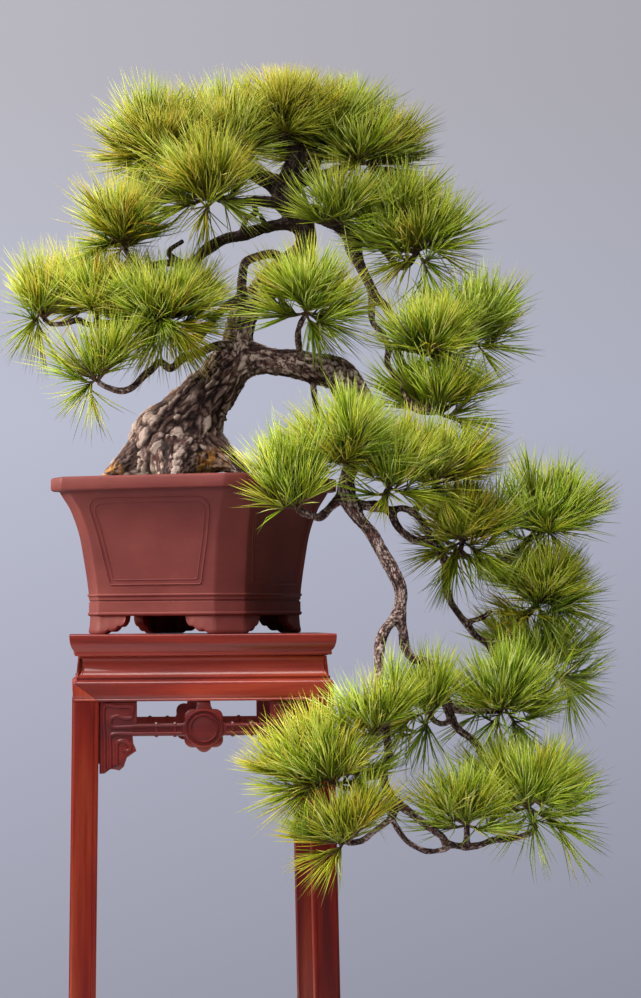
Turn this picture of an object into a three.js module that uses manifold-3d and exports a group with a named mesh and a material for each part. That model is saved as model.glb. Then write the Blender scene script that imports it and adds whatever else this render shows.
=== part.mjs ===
// A huangshan pine bonsai in a square clay pot, on a tall rosewood stand.
// Millimetres, +Z up, the front toward -Y. The stand's top centre is the point
// that the pot and the tree are placed from; the whole object is then moved so
// that its origin is at the bottom centre of its bounding box.

import * as THREE from 'three';
import { mergeVertices } from 'three/addons/utils/BufferGeometryUtils.js';
import Module from 'manifold-3d';

const wasm = await Module();
wasm.setup();

const GAP = 0.3; // between pieces that touch

// Stand
const STAND_HEIGHT = 750;
const STAND_HALF = 180; // half the width of the top
const TOP_THICK = 30;
const RAIL_INNER = 120; // half the opening that the panel fills
const PANEL_THICK = 14;
const APRON_BOTTOM = 90; // below the top
const APRON_BACK = 158; // inner face of the apron boards, from the centre
const LEG_OUTER = 176;
const LEG_WIDTH = 35;
const LEG_SPLAY = 10; // how much further out the soles are
const LEG_POST = 16; // the slimmer post of each leg behind the aprons
const STRETCHER_Z = 110; // above the floor
const STRETCHER_HIGH = 26;
const STRETCHER_DEEP = 20;
const FRIEZE_THICK = 12;
const FRIEZE_FRONT = 170; // its outer face, from the centre
const BAR_TOP = -120;
const BAR_BOTTOM = -137;
const MEDALLION_Z = -127;
const MEDALLION_R = 30;
const MEDALLION_LOBES = 8;
const MEDALLION_LOBE_HIGH = 2.4;
const DISC_R = 18; // the medallion's raised middle
const DISC_EDGE = 2; // its bevel
const DISC_HIGH = 5;

// Pot
const POT_YAW = -29 * Math.PI / 180;
const POT_X = -4;
const POT_FOOT = 25; // height of the feet
const POT_CHAMFER = 31; // leg of the corner chamfer
const POT_WALL = 12;
const CHAMFER_SHRINK = 0.59; // of the wall, so that it is as thick at the chamfers
const POT_RIM_HALF = 161; // half the width over the rim
const POT_RIM_CHAMFER = 35;
const POT_RIM_BOTTOM = 198;
const POT_TOP = 217;
const POT_WALLS = [
  // height, half width between flats
  [25, 121],
  [60, 121.5],
  [111, 127],
  [142, 131.5],
  [172, 139.5],
  [190, 147.5],
  [198, 151],
];
const POT_FLOOR = 38; // inside
const FOOT_WING = 46; // how far a foot runs along each wall from its corner
const FOOT_THICK = 14;
const FOOT_TOP = POT_FOOT + 3; // inside the body, so that they join
const DRAIN_R = 14;
const SOIL_TOP = 212;
const ROOT_HOLE_R = 52;
const ROOT_HOLE_X = -30;
const ROOT_HOLE_Z = 160; // bottom of the root ball's plug

// Root ball
const PLUG_INTO = 10; // how far the plug runs up into the trunk
const PLUG_BOTTOM_R = 46;
const ROOT_CUT = 50; // what the trunk and roots lose under the soil's top
const ROOT_SPREAD = 600;

// Foliage
const NEEDLE_LENGTH = 76;
const NEEDLE_VARIES = 8;
const NEEDLE_R = 0.9; // at its root
const NEEDLES_PER_SHOOT = 3;
const NEEDLES_MORE = 3; // what each spray has besides, dealt out over its shoots
const NEEDLE_SIDES = 3;
const ARM_R = 2.6; // the shoots that the needles stand on
const ARM_TIP_R = 2;
const ARM_SIDES = 3;
const SHOOT_APART = 4.5; // between the starts of a spray's shoots
const NEEDLE_LIFT = 0.08; // how much needles turn upward
const CLEARANCE = 0.35; // between needles
const ROOT_SHARE = 0.15; // of a needle's length, where it may touch its own spray
const BARK_ROOM = 1.1; // of a limb's radius, for its lumps
const DRAWS = 60; // tries to place a needle clear of the other sprays
const POT_ROOM = 4; // between needles and the pot or the stand
const FIRST_NEEDLE = 0.35; // where needles start and end along a shoot, as shares of it
const LAST_NEEDLE = 0.95;
const LEAN_LEAST = 0.12; // of the needles at a shoot's tip, in radians
const LEAN_MORE = 1.05; // what those at its root lean more

const UP_Y = new THREE.Vector3(0, 1, 0);

const MATERIALS = {
  bark: new THREE.MeshStandardMaterial({ color: '#6e5a50', roughness: 0.95, metalness: 0 }),
  needles: new THREE.MeshStandardMaterial({ color: '#8a9e32', roughness: 0.6, metalness: 0 }),
  soil: new THREE.MeshStandardMaterial({ color: '#33261d', roughness: 1, metalness: 0 }),
  clay: new THREE.MeshStandardMaterial({ color: '#6e3a38', roughness: 0.6, metalness: 0 }),
  rosewood: new THREE.MeshStandardMaterial({ color: '#8c2f22', roughness: 0.3, metalness: 0 }),
};

// Trunk, roots and branches: points x, y, z and radius, from the stand's top centre
const TRUNK = [
  [-30, 5, 196, 50], [-32, 5, 222, 58], [-24, 4, 262, 52], [-8, 2, 292, 44],
  [13, 0, 323, 37], [32, 2, 344, 33], [45, 5, 366, 30], [56, 7, 386, 26],
  [59, 9, 402, 22], [60, 12, 422, 21], [67, 18, 456, 21], [88, 24, 481, 20],
  [106, 27, 502, 18], [129, 25, 521, 17], [150, 17, 540, 16], [153, 8, 563, 16],
  [141, 3, 586, 17], [128, 0, 607, 17], [130, -1, 630, 15], [141, 0, 668, 11],
  [146, 2, 692, 7],
];
const ROOTS = [
  [[-48, 0, 266, 40], [-84, -8, 240, 31], [-117, -14, 217, 20], [-132, -18, 205, 12]],
  [[-5, -8, 262, 34], [28, -20, 250, 24], [54, -26, 231, 15], [64, -28, 208, 9]],
  [[-25, -24, 252, 34], [-32, -56, 228, 23], [-42, -84, 204, 13]],
  [[-20, 36, 252, 34], [-8, 72, 226, 23], [4, 98, 204, 13]],
];

// The cascade: the limb that leaves the fork and hangs down past the pot and the stand
const CASCADE = [
  [56, 6, 378, 18], [80, 0, 384, 19], [107, -10, 380, 17], [135, -20, 377, 18],
  [158, -30, 371, 19], [193, -40, 362, 21], [208, -55, 338, 23], [219, -70, 315, 21],
  [222, -85, 292, 17], [218, -100, 263, 13], [206, -120, 231, 11], [197, -135, 196, 10],
  [210, -150, 162, 9.5], [228, -160, 138, 9], [242, -168, 111, 9], [255, -175, 88, 9],
  [267, -182, 59, 8.5], [265, -190, 32, 8.5], [262, -195, 18, 8],
];
const TAIL = [
  [263, -194, 26, 7.5], [242, -209, 2, 7.5], [233, -219, -26, 7], [232, -226, -56, 6.5],
  [239, -234, -112, 6], [244, -240, -163, 6], [236, -240, -185, 6], [244, -238, -212, 5.5],
  [257, -235, -227, 5.5], [279, -230, -245, 5.5], [301, -225, -261, 5], [316, -220, -273, 5],
  [326, -217, -284, 5], [364, -205, -287, 4.5], [387, -200, -280, 4],
];
const TAIL_RIGHT = [
  [263, -194, 26, 7], [269, -197, 2, 7], [272, -194, -20, 6.5], [281, -190, -33, 6],
  [298, -180, -38, 6], [315, -166, -48, 6], [326, -151, -69, 5.5], [331, -145, -96, 5.5],
  [340, -139, -118, 5.5], [350, -130, -133, 5.5], [367, -121, -145, 5], [379, -115, -158, 5],
  [387, -110, -178, 4.5], [392, -108, -194, 4.5],
];
const RING = [
  [203, -142, 176, 8], [233, -135, 173, 7], [250, -125, 170, 6.5], [261, -115, 166, 6],
  [270, -101, 149, 5.5], [282, -91, 137, 5.5], [298, -80, 128, 5.5], [315, -70, 129, 5],
  [329, -60, 120, 5], [341, -51, 102, 5], [343, -45, 70, 5], [349, -40, 47, 5],
  [363, -35, 26, 4.5], [377, -29, 9, 4.5],
];
const RING_TOP = [
  [258, -118, 166, 5], [275, -110, 171, 4.5], [292, -100, 166, 4.5], [309, -82, 152, 4.5],
  [322, -66, 132, 4.5],
];

// Limbs of the crown and the left side
const UPPER_LEFT = [
  [139, 2, 578, 10], [99, -10, 569, 8], [63, -20, 557, 8], [37, -25, 551, 8],
  [9, -30, 535, 7.5], [-8, -35, 516, 7], [-27, -40, 515, 5.5],
];
const CROWN_LEFT = [
  [128, 0, 612, 11], [90, -5, 640, 9], [50, -8, 654, 8], [12, -15, 666, 7],
];
const LOWER_LEFT = [
  [56, 4, 402, 8], [26, -15, 403, 7], [2, -30, 392, 6], [-20, -40, 385, 5.5],
];
const LEFT_DIAGONAL = [
  [64, 14, 474, 8], [37, -20, 454, 6], [18, -34, 432, 5.5], [-2, -45, 408, 5.5],
];
const CROWN_RIGHT = [
  [146, 8, 592, 13], [172, 20, 592, 12], [201, 28, 577, 12], [220, 29, 560, 12],
  [225, 25, 540, 11], [233, 20, 519, 8], [245, 14, 492, 6.5], [256, 10, 468, 6],
];

// Bare twigs: stubs, the dead twig under the limb and the deadwood arch on the trunk
const BARE = [
  [[66, -4, 458, 8], [62, -22, 478, 7], [63, -26, 502, 6.5], [68, -26, 519, 6.5],
    [86, -24, 527, 6.5], [107, -16, 531, 7], [122, 0, 524, 8]],
  [[158, -30, 366, 6], [160, -36, 352, 4.5], [163, -40, 323, 4], [168, -43, 297, 3.5],
    [179, -45, 277, 2.5]],
  [[-6, -34, 518, 5.5], [2, -37, 498, 4.5]],
  [[-26, -40, 516, 4.5], [-40, -50, 530, 4], [-21, -60, 545, 3]],
  [[64, -20, 557, 5], [64, -36, 566, 4], [69, -45, 579, 3.5], [81, -56, 584, 3.5],
    [79, -61, 595, 3], [94, -66, 606, 2.5]],
  [[100, -10, 569, 5], [92, -32, 576, 3.5], [87, -40, 585, 2.5]],
  [[246, -238, -212, 4], [246, -240, -240, 4], [257, -236, -264, 4], [272, -232, -281, 4],
    [294, -228, -291, 4], [316, -222, -290, 4], [326, -217, -285, 4]],
  [[374, -29, 13, 4], [396, -25, 20, 3.5], [410, -20, 29, 3]],
  [[404, -20, -16, 3.5], [410, -29, -34, 3]],
];

// Twigs that carry foliage. route: points x, y, z and radius up to the tip.
// arms: shoots from the tip, as steps in x, y and z. The needles stand on them.
const SPRAYS = {
  apex: {
    route: [[142, 0, 668, 8], [130, -8, 688, 6], [118, -12, 700, 5]],
    arms: [[-25, -5, 28], [3, -22, 42], [30, 6, 30]],
  },
  crown_centre: {
    route: [[92, -5, 640, 8], [70, -12, 660, 6], [42, -12, 678, 5]],
    arms: [[-32, 0, 16], [-18, 14, 36], [14, -24, 44], [-8, -26, 18]],
  },
  crown_right: {
    route: [[142, 0, 664, 8], [164, 4, 678, 6], [182, 5, 690, 5]],
    arms: [[8, -16, 34], [38, -6, 28], [56, 8, 10]],
  },
  right_edge: {
    route: [[130, 0, 632, 10], [172, 10, 644, 8], [205, 12, 655, 6.5], [228, 12, 662, 5]],
    arms: [[30, 0, 22], [38, -20, 2], [34, 16, -10]],
  },
  upper_left: {
    route: [[14, -14, 665, 7], [-16, -20, 664, 6], [-46, -28, 668, 5]],
    arms: [[-22, 4, 38], [-34, -12, 18], [-4, -14, 50], [-26, -16, -24], [-12, -28, -6]],
  },
  left_crown: {
    route: [[-26, -40, 515, 5.5], [-46, -46, 515, 5], [-76, -54, 510, 4.5], [-91, -55, 520, 4.5],
      [-103, -55, 538, 4]],
    arms: [[-18, 2, 24], [-22, -14, 0], [6, -16, 30]],
  },
  crown_front: {
    route: [[126, -2, 602, 10], [92, -42, 602, 7.5], [50, -68, 598, 6.5], [18, -84, 604, 5]],
    arms: [[-28, -20, 12], [14, -28, 16], [-4, -14, 36]],
  },
  back_left: {
    route: [[130, 4, 628, 11], [100, 44, 650, 8], [58, 80, 670, 6.5], [22, 100, 682, 5]],
    arms: [[-34, 8, 14], [-4, 34, 12], [4, 4, 36]],
  },
  back_right: {
    route: [[132, 4, 622, 11], [156, 42, 646, 8], [174, 74, 666, 6.5], [180, 92, 676, 5]],
    arms: [[-40, 14, 22], [0, 36, 18], [38, 10, 16]],
  },
  inner_right: {
    route: [[186, 24, 586, 9], [194, -2, 578, 6], [199, -20, 574, 5]],
    arms: [[-14, -20, 26], [20, -18, 20], [2, -32, 0]],
  },
  right_upper: {
    route: [[222, 28, 560, 7], [244, 20, 575, 6], [264, 16, 568, 5], [281, 12, 570, 4.5]],
    arms: [[-2, -8, 30], [14, -12, 26], [28, 8, 12]],
  },
  right_tip: {
    route: [[222, 28, 566, 7], [245, 14, 560, 5.5], [267, 5, 536, 5], [282, 0, 517, 5],
      [298, -5, 519, 4.5], [311, -10, 536, 4]],
    arms: [[24, -4, 24], [34, -10, 2], [6, -24, 16]],
  },
  front: {
    route: [[143, -22, 380, 7], [141, -35, 396, 4.5], [138, -54, 417, 4.5], [142, -76, 432, 4],
      [147, -90, 442, 4]],
    arms: [[-24, -14, 20], [4, -20, 30], [28, -12, 16], [2, -32, 0]],
  },
  far_right: {
    route: [[306, -15, 372, 4.5], [324, -18, 376, 4.5], [350, -18, 394, 4.5], [372, -15, 411, 4]],
    arms: [[-16, -8, 28], [14, -12, 32], [36, 4, 10]],
  },
  mid_right: {
    route: [[256, 10, 468, 6], [266, 5, 458, 6], [275, 0, 438, 5.5], [279, -5, 412, 5],
      [284, -10, 386, 5], [292, -14, 372, 4.5], [306, -15, 372, 4.5], [312, -30, 377, 4.5],
      [314, -42, 386, 4]],
    arms: [[-10, -16, 26], [24, -14, 14], [30, -12, -14]],
  },
  right_low: {
    route: [[248, 13, 480, 5.5], [247, 4, 440, 4.5], [259, -6, 422, 4.5], [268, -20, 400, 4.5],
      [266, -30, 379, 4.5], [272, -40, 361, 4.5], [284, -50, 345, 4.5], [288, -58, 326, 4.5],
      [304, -62, 309, 4.5], [330, -62, 305, 4]],
    arms: [[30, 0, 18], [36, -6, -12], [4, -14, 26]],
  },
  far_left: {
    route: [[-33, -51, 414, 5.2], [-61, -50, 424, 5.2], [-86, -50, 429, 5], [-117, -45, 429, 5],
      [-149, -40, 430, 4.5], [-167, -38, 437, 4.5], [-183, -35, 433, 4],
      [-204, -31, 431, 4], [-214, -28, 439, 4]],
    arms: [[-12, 2, 14], [-14, -6, -8], [0, -14, 16]],
  },
  left_up: {
    route: [[-134, -42, 429, 5], [-140, -44, 437, 4.5], [-142, -46, 447, 4]],
    arms: [[-12, -4, 26], [16, -10, 26], [-22, 10, 12]],
  },
  left_mid: {
    route: [[-3, -44, 410, 6], [-34, -50, 414, 5.5], [-42, -58, 424, 4.5], [-46, -64, 434, 4]],
    arms: [[-56, -12, 10], [-30, -24, 28], [18, -28, 24], [46, -12, 22], [-6, -28, -6]],
  },
  left_low: {
    route: [[-18, -39, 386, 5.5], [-38, -50, 369, 5.5], [-54, -54, 377, 5], [-64, -60, 366, 5],
      [-77, -65, 356, 5], [-94, -70, 340, 4.5], [-110, -74, 335, 4.5], [-127, -78, 340, 4],
      [-140, -80, 348, 4]],
    arms: [[-16, 2, 10], [-14, -10, -8], [2, -14, 18]],
  },
  pot_edge: {
    route: [[200, -134, 196, 8], [186, -140, 181, 7], [176, -145, 172, 6.5], [167, -150, 163, 6],
      [158, -156, 157, 5.5], [143, -166, 161, 5], [128, -172, 168, 4.5]],
    arms: [[-46, -20, 30], [-22, -24, 62], [18, -16, 60], [-36, -24, 8]],
  },
  limb_front: {
    route: [[213, -110, 247, 9], [201, -130, 236, 5], [194, -142, 234, 4]],
    arms: [[-14, -14, 26], [12, -18, 28], [2, -26, 0]],
  },
  middle: {
    route: [[235, -134, 173, 6], [247, -131, 178, 5], [252, -129, 188, 4.5], [257, -126, 199, 4]],
    arms: [[-24, -12, 28], [0, -22, 44], [32, -14, 30], [16, 10, 40]],
  },
  middle_right: {
    route: [[292, -100, 166, 4.5], [308, -100, 178, 4.5], [320, -98, 192, 4], [324, -96, 204, 4]],
    arms: [[12, -14, 28], [32, -2, 18], [-8, 14, 30]],
  },
  inner_up: {
    route: [[341, -51, 100, 5], [356, -46, 104, 4.5], [365, -44, 116, 4], [368, -42, 126, 4]],
    arms: [[-16, -16, 24], [10, -10, 34], [-4, 18, 24]],
  },
  big_right: {
    route: [[358, -46, 106, 4.5], [368, -45, 108, 4.5], [394, -40, 94, 4.5], [417, -35, 95, 4.5],
      [446, -26, 114, 4], [462, -22, 128, 4], [472, -20, 140, 4]],
    arms: [[-4, -12, 52], [36, -6, 46], [56, 2, 20], [20, 28, 26], [24, -20, -10]],
  },
  right_mid: {
    route: [[376, -28, 10, 4.5], [387, -25, -5, 4.5], [406, -20, -16, 4.5], [418, -15, -13, 4.5],
      [431, -10, -6, 4], [452, 0, 10, 4], [466, 3, 26, 4], [477, 5, 40, 4]],
    arms: [[26, 0, 18], [32, -12, -8], [4, -20, 22], [-42, -4, 34], [-18, 28, 24]],
  },
  right_lower: {
    route: [[430, -10, -7, 4], [446, -2, -26, 4.5], [466, 4, -46, 4.5], [480, 8, -54, 4],
      [492, 10, -52, 4]],
    arms: [[4, -10, 28], [34, 0, 18], [30, 8, -16]],
  },
  inner_low: {
    route: [[331, -146, -92, 5], [343, -141, -104, 4.5], [356, -134, -107, 4.5],
      [382, -124, -108, 4], [402, -112, -108, 4], [416, -102, -104, 4]],
    arms: [[0, -8, 34], [22, -6, 24], [32, 8, -4]],
  },
  left_hang: {
    route: [[340, -139, -118, 4.5], [328, -147, -124, 4], [316, -154, -120, 4], [308, -160, -112, 4]],
    arms: [[-36, -8, -8], [-14, -10, 12], [6, -12, 26]],
  },
  tail_top: {
    route: [[240, -236, -118, 5.5], [232, -248, -130, 4.5], [225, -256, -133, 4]],
    arms: [[-38, -10, -2], [-18, -14, 22], [16, -12, 18]],
  },
  big_left: {
    route: [[238, -240, -184, 6], [217, -245, -185, 4.5], [200, -250, -203, 4],
      [184, -254, -206, 4], [170, -256, -198, 4]],
    arms: [[-87, -11, 13], [-54, -6, 36], [-20, -12, 52], [12, -16, 40], [-48, -16, -10]],
  },
  low_left: {
    route: [[256, -236, -228, 5], [246, -240, -246, 4], [223, -245, -264, 4],
      [207, -250, -275, 4], [186, -255, -278, 4]],
    arms: [[-22, -6, 4], [-14, -14, -12], [-10, -12, 18]],
  },
  low_mid: {
    route: [[350, -209, -286, 4.5], [352, -206, -272, 4], [352, -205, -260, 4]],
    arms: [[-14, -12, 26], [14, -14, 26], [2, 14, 28]],
  },
  low_right: {
    route: [[386, -200, -280, 4], [421, -190, -277, 4], [446, -180, -268, 4],
      [444, -178, -252, 4], [440, -178, -238, 4]],
    arms: [[-8, -10, 32], [28, -8, 28], [42, 0, 14], [18, -28, 12], [14, 18, 20]],
  },
  low_back: {
    route: [[392, -108, -192, 4.5], [415, -105, -213, 4], [446, -100, -230, 4]],
    arms: [[26, 10, 20], [34, -8, -4], [6, 22, 24]],
  },
};

// Helpers

function named(name, geometry, material) {
  const mesh = new THREE.Mesh(geometry, MATERIALS[material]);
  mesh.name = name;
  return mesh;
}

// The geometry with only its positions, and with shared vertices merged
function welded(geometry) {
  const bare = geometry.clone();
  bare.deleteAttribute('normal');
  bare.deleteAttribute('uv');
  return mergeVertices(bare, 1e-4);
}

function toSolid(geometry) {
  const closed = welded(geometry);
  const mesh = new wasm.Mesh({
    numProp: 3,
    vertProperties: new Float32Array(closed.attributes.position.array),
    triVerts: new Uint32Array(closed.index.array),
  });
  return new wasm.Manifold(mesh);
}

function toGeometry(solid) {
  const mesh = solid.getMesh();
  const geometry = new THREE.BufferGeometry();
  geometry.setAttribute('position', new THREE.BufferAttribute(mesh.vertProperties, 3));
  geometry.setIndex(new THREE.BufferAttribute(mesh.triVerts, 1));
  return geometry;
}

function joined(geometries) {
  return geometries.map(toSolid).reduce((whole, next) => whole.add(next));
}

// A closed solid through rings of points, all with the same count of points.
// flat gives the cap's points in two dimensions, for a cap that isn't convex.
function loft(rings, flat = null) {
  const count = rings[0].length;
  const positions = rings.flat().flatMap((point) => [point.x, point.y, point.z]);
  const index = [];
  for (let ring = 0; ring < rings.length - 1; ring += 1) {
    for (let i = 0; i < count; i += 1) {
      const a = ring * count + i;
      const b = ring * count + (i + 1) % count;
      index.push(a, b, b + count, a, b + count, a + count);
    }
  }
  const last = (rings.length - 1) * count;
  const outline = flat ?? rings[0].map((_, i) => roundPoint(i, count));
  for (const [a, b, c] of THREE.ShapeUtils.triangulateShape(outline, [])) {
    index.push(a, c, b);
    index.push(last + a, last + b, last + c);
  }
  const geometry = new THREE.BufferGeometry();
  geometry.setAttribute('position', new THREE.Float32BufferAttribute(positions, 3));
  geometry.setIndex(index);
  return geometry;
}

function roundPoint(i, count) {
  const angle = (2 * Math.PI * i) / count;
  return new THREE.Vector2(Math.cos(angle), Math.sin(angle));
}

// A limb: rings square to the route, each with its point's radius and slight lumps
function limb(route, sides, lumps = 0) {
  const points = route.map(([x, y, z]) => new THREE.Vector3(x, y, z));
  const rings = [];
  let across = new THREE.Vector3(0, 1, 0);
  points.forEach((point, i) => {
    const before = points[Math.max(i - 1, 0)];
    const after = points[Math.min(i + 1, points.length - 1)];
    const along = after.clone().sub(before).normalize();
    across = across.clone().addScaledVector(along, -across.dot(along)).normalize();
    const side = along.clone().cross(across);
    const ring = [];
    for (let k = 0; k < sides; k += 1) {
      const angle = (2 * Math.PI * k) / sides;
      const wave = Math.sin(3 * angle + 0.9 * i) + 0.6 * Math.sin(5 * angle - 1.7 * i);
      const radius = route[i][3] * (1 + lumps * wave);
      ring.push(point.clone()
        .addScaledVector(across, radius * Math.cos(angle))
        .addScaledVector(side, radius * Math.sin(angle)));
    }
    rings.push(ring);
  });
  return loft(rings);
}

// A round bar from one point to another, wider at its start
function bar(from, to, startR, endR, sides) {
  const along = to.clone().sub(from);
  const geometry = new THREE.CylinderGeometry(endR, startR, along.length(), sides, 1);
  const turn = new THREE.Quaternion().setFromUnitVectors(
    UP_Y,
    along.clone().normalize(),
  );
  geometry.applyQuaternion(turn);
  const middle = from.clone().add(to).multiplyScalar(0.5);
  return geometry.translate(middle.x, middle.y, middle.z);
}

function seeded(seed) {
  let state = seed;
  return () => {
    state = (state + 0x6d2b79f5) | 0;
    let mixed = Math.imul(state ^ (state >>> 15), 1 | state);
    mixed = (mixed + Math.imul(mixed ^ (mixed >>> 7), 61 | mixed)) ^ mixed;
    return ((mixed ^ (mixed >>> 14)) >>> 0) / 2 ** 32;
  };
}

// Stand

// A board of the front side with mitred ends, from points of distance and height
function mitredBoard(profile) {
  const end = (sign) => profile.map(
    ([out, z]) => new THREE.Vector3(sign * (out - GAP), -out, z),
  );
  const flat = profile.map(([out, z]) => new THREE.Vector2(out, z));
  return loft([end(1), end(-1)], flat);
}

function topRail() {
  return mitredBoard([
    [RAIL_INNER, 0],
    [RAIL_INNER, -TOP_THICK],
    [STAND_HALF - 8, -TOP_THICK],
    [STAND_HALF - 4.5, -24],
    [STAND_HALF, -17.5],
    [STAND_HALF, 0],
  ]);
}

function topPanel() {
  const width = 2 * (RAIL_INNER - GAP);
  return new THREE.BoxGeometry(width, width, PANEL_THICK).translate(0, 0, -PANEL_THICK / 2);
}

// The waist and the apron, in one board: it widens below a bead
function apron() {
  return mitredBoard([
    [APRON_BACK, -TOP_THICK - GAP],
    [APRON_BACK, -APRON_BOTTOM],
    [LEG_OUTER, -APRON_BOTTOM],
    [LEG_OUTER + 0.3, -71],
    [LEG_OUTER - 2, -64],
    [LEG_OUTER - 7, -59],
    [LEG_OUTER - 9, -56],
    [LEG_OUTER - 9, -42],
    [LEG_OUTER - 6, -34],
    [LEG_OUTER - 5, -TOP_THICK - GAP],
  ]);
}

// A square bar in the corner toward -X, -Y, from its outer and inner distances
function cornerBar(levels) {
  const rings = levels.map(([outer, inner, z]) => [
    new THREE.Vector3(-outer, -outer, z),
    new THREE.Vector3(-inner, -outer, z),
    new THREE.Vector3(-inner, -inner, z),
    new THREE.Vector3(-outer, -inner, z),
  ]);
  return loft(rings);
}

function leg() {
  const main = cornerBar([
    [LEG_OUTER + LEG_SPLAY, LEG_OUTER + LEG_SPLAY - LEG_WIDTH, -STAND_HEIGHT],
    [LEG_OUTER, LEG_OUTER - LEG_WIDTH, -APRON_BOTTOM - GAP],
  ]);
  const postOuter = APRON_BACK - GAP;
  const postInto = 4;
  const post = cornerBar([
    [postOuter, postOuter - LEG_POST, -APRON_BOTTOM - postInto],
    [postOuter, postOuter - LEG_POST, -TOP_THICK - GAP],
  ]);
  return toGeometry(joined([main, post]));
}

// How far out the legs stand at a height below the top
function splayAt(z) {
  return LEG_SPLAY * (-z - APRON_BOTTOM) / (STAND_HEIGHT - APRON_BOTTOM);
}

function stretcher() {
  const middleZ = STRETCHER_Z - STAND_HEIGHT;
  const level = (z) => {
    const half = LEG_OUTER - LEG_WIDTH + splayAt(z) - GAP;
    const out = LEG_OUTER - LEG_WIDTH / 2 + splayAt(middleZ) + STRETCHER_DEEP / 2;
    return [
      new THREE.Vector3(-half, -out, z),
      new THREE.Vector3(half, -out, z),
      new THREE.Vector3(half, -out + STRETCHER_DEEP, z),
      new THREE.Vector3(-half, -out + STRETCHER_DEEP, z),
    ];
  };
  return loft([level(middleZ - STRETCHER_HIGH / 2), level(middleZ + STRETCHER_HIGH / 2)]);
}

// Left half of the frieze's outline, in x and z: a fret bracket, the bar and half the
// medallion, first its lower side from left to right and then its upper side back
function friezeHalf() {
  const top = -APRON_BOTTOM - GAP;
  const legSide = -(LEG_OUTER - LEG_WIDTH - GAP);
  const bracketUnder = [
    [legSide, -187], [-134, -187], [-126, -181], [-114, -183],
    [-108, -178], [-104, -166], [-91, -157], [-95, -147], [-96, BAR_BOTTOM],
  ];
  const lobe = (degrees) => {
    const angle = (degrees * Math.PI) / 180;
    const radius = MEDALLION_R + MEDALLION_LOBE_HIGH * Math.cos(MEDALLION_LOBES * angle);
    return [radius * Math.cos(angle), MEDALLION_Z + radius * Math.sin(angle)];
  };
  const lobesUnder = [202, 225, 247, 270].map(lobe);
  const lobesOver = [113, 135, 157].map(lobe);
  const bracketOver = [[-90, BAR_TOP], [-90, top], [legSide, top]];
  return {
    under: [...bracketUnder, [-26, BAR_BOTTOM], ...lobesUnder],
    over: [[-10, top], ...lobesOver, [-26, BAR_TOP], ...bracketOver],
  };
}

function frieze() {
  const { under, over } = friezeHalf();
  const mirrored = (points) => points.map(([x, z]) => [-x, z]).reverse();
  const outline = [...under, ...mirrored(under).slice(1), ...mirrored(over), ...over];
  const shape = new THREE.Shape(outline.map(([x, z]) => new THREE.Vector2(x, z)));
  const board = new THREE.ExtrudeGeometry(shape, { depth: FRIEZE_THICK, bevelEnabled: false });
  board.rotateX(Math.PI / 2);
  board.translate(0, -FRIEZE_FRONT + FRIEZE_THICK, 0);
  const disc = new THREE.CylinderGeometry(DISC_R, DISC_R + DISC_EDGE, DISC_HIGH, 10);
  disc.translate(0, -FRIEZE_FRONT, MEDALLION_Z);
  return toGeometry(joined([board, disc]));
}

function stand() {
  const parts = new THREE.Group();
  const sides = ['front', 'right', 'back', 'left'];
  const pieces = {
    rail: topRail(),
    apron: apron(),
    leg: leg(),
    frieze: frieze(),
    stretcher: stretcher(),
  };
  for (const [piece, geometry] of Object.entries(pieces)) {
    sides.forEach((side, i) => {
      const mesh = named(`${piece}_${side}`, geometry, 'rosewood');
      mesh.rotation.z = (i * Math.PI) / 2;
      parts.add(mesh);
    });
  }
  parts.add(named('top_panel', topPanel(), 'rosewood'));
  return parts;
}

// Pot

// A square with its corners cut off
function octagon(half, chamfer, z) {
  const near = half - chamfer;
  const corners = [
    [half, -near], [half, near], [near, half], [-near, half],
    [-half, near], [-half, -near], [-near, -half], [near, -half],
  ];
  return corners.map(([x, y]) => new THREE.Vector3(x, y, z));
}

function innerHalf(z) {
  const upper = Math.max(POT_WALLS.findIndex(([level]) => level >= z), 1);
  const [lowZ, lowHalf] = POT_WALLS[upper - 1];
  const [highZ, highHalf] = POT_WALLS[upper];
  return lowHalf + ((z - lowZ) / (highZ - lowZ)) * (highHalf - lowHalf) - POT_WALL;
}

function innerRings(gap, floor, top) {
  const chamfer = POT_CHAMFER - CHAMFER_SHRINK * POT_WALL;
  const levels = [floor, 60, 111, 142, 172, 190, POT_RIM_BOTTOM];
  const rings = levels.map((z) => octagon(innerHalf(z) - gap, chamfer, z));
  rings.push(octagon(innerHalf(POT_RIM_BOTTOM) - gap, chamfer, top));
  return rings;
}

// A foot along one flat of the pot's corner: a board with a scalloped lower edge
function footBoard(length) {
  const shape = new THREE.Shape();
  shape.moveTo(0, 0);
  shape.lineTo(length * 0.45, 0);
  shape.quadraticCurveTo(length * 0.62, 3, length * 0.6, 10);
  shape.quadraticCurveTo(length * 0.84, 8, length * 0.88, 17);
  shape.quadraticCurveTo(length, 19, length, FOOT_TOP);
  shape.lineTo(0, FOOT_TOP);
  shape.closePath();
  const settings = { depth: FOOT_THICK, bevelEnabled: false, curveSegments: 2 };
  const board = new THREE.ExtrudeGeometry(shape, settings);
  return board.rotateX(Math.PI / 2);
}

// One foot under the chamfered corner toward +X, -Y
function foot() {
  const half = POT_WALLS[0][1];
  const near = half - POT_CHAMFER;
  const inset = 6;
  const corner = loft([0, FOOT_TOP].map((z) => [
    new THREE.Vector3(near - inset, -half, z),
    new THREE.Vector3(near, -half, z),
    new THREE.Vector3(half, -near, z),
    new THREE.Vector3(half, -near + inset, z),
    new THREE.Vector3(near - inset, -near + inset, z),
  ]));
  const along = footBoard(FOOT_WING).rotateZ(Math.PI).translate(near, -half, 0);
  const beside = footBoard(FOOT_WING).rotateZ(Math.PI / 2).translate(half - FOOT_THICK, -near, 0);
  return [corner, along, beside];
}

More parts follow.
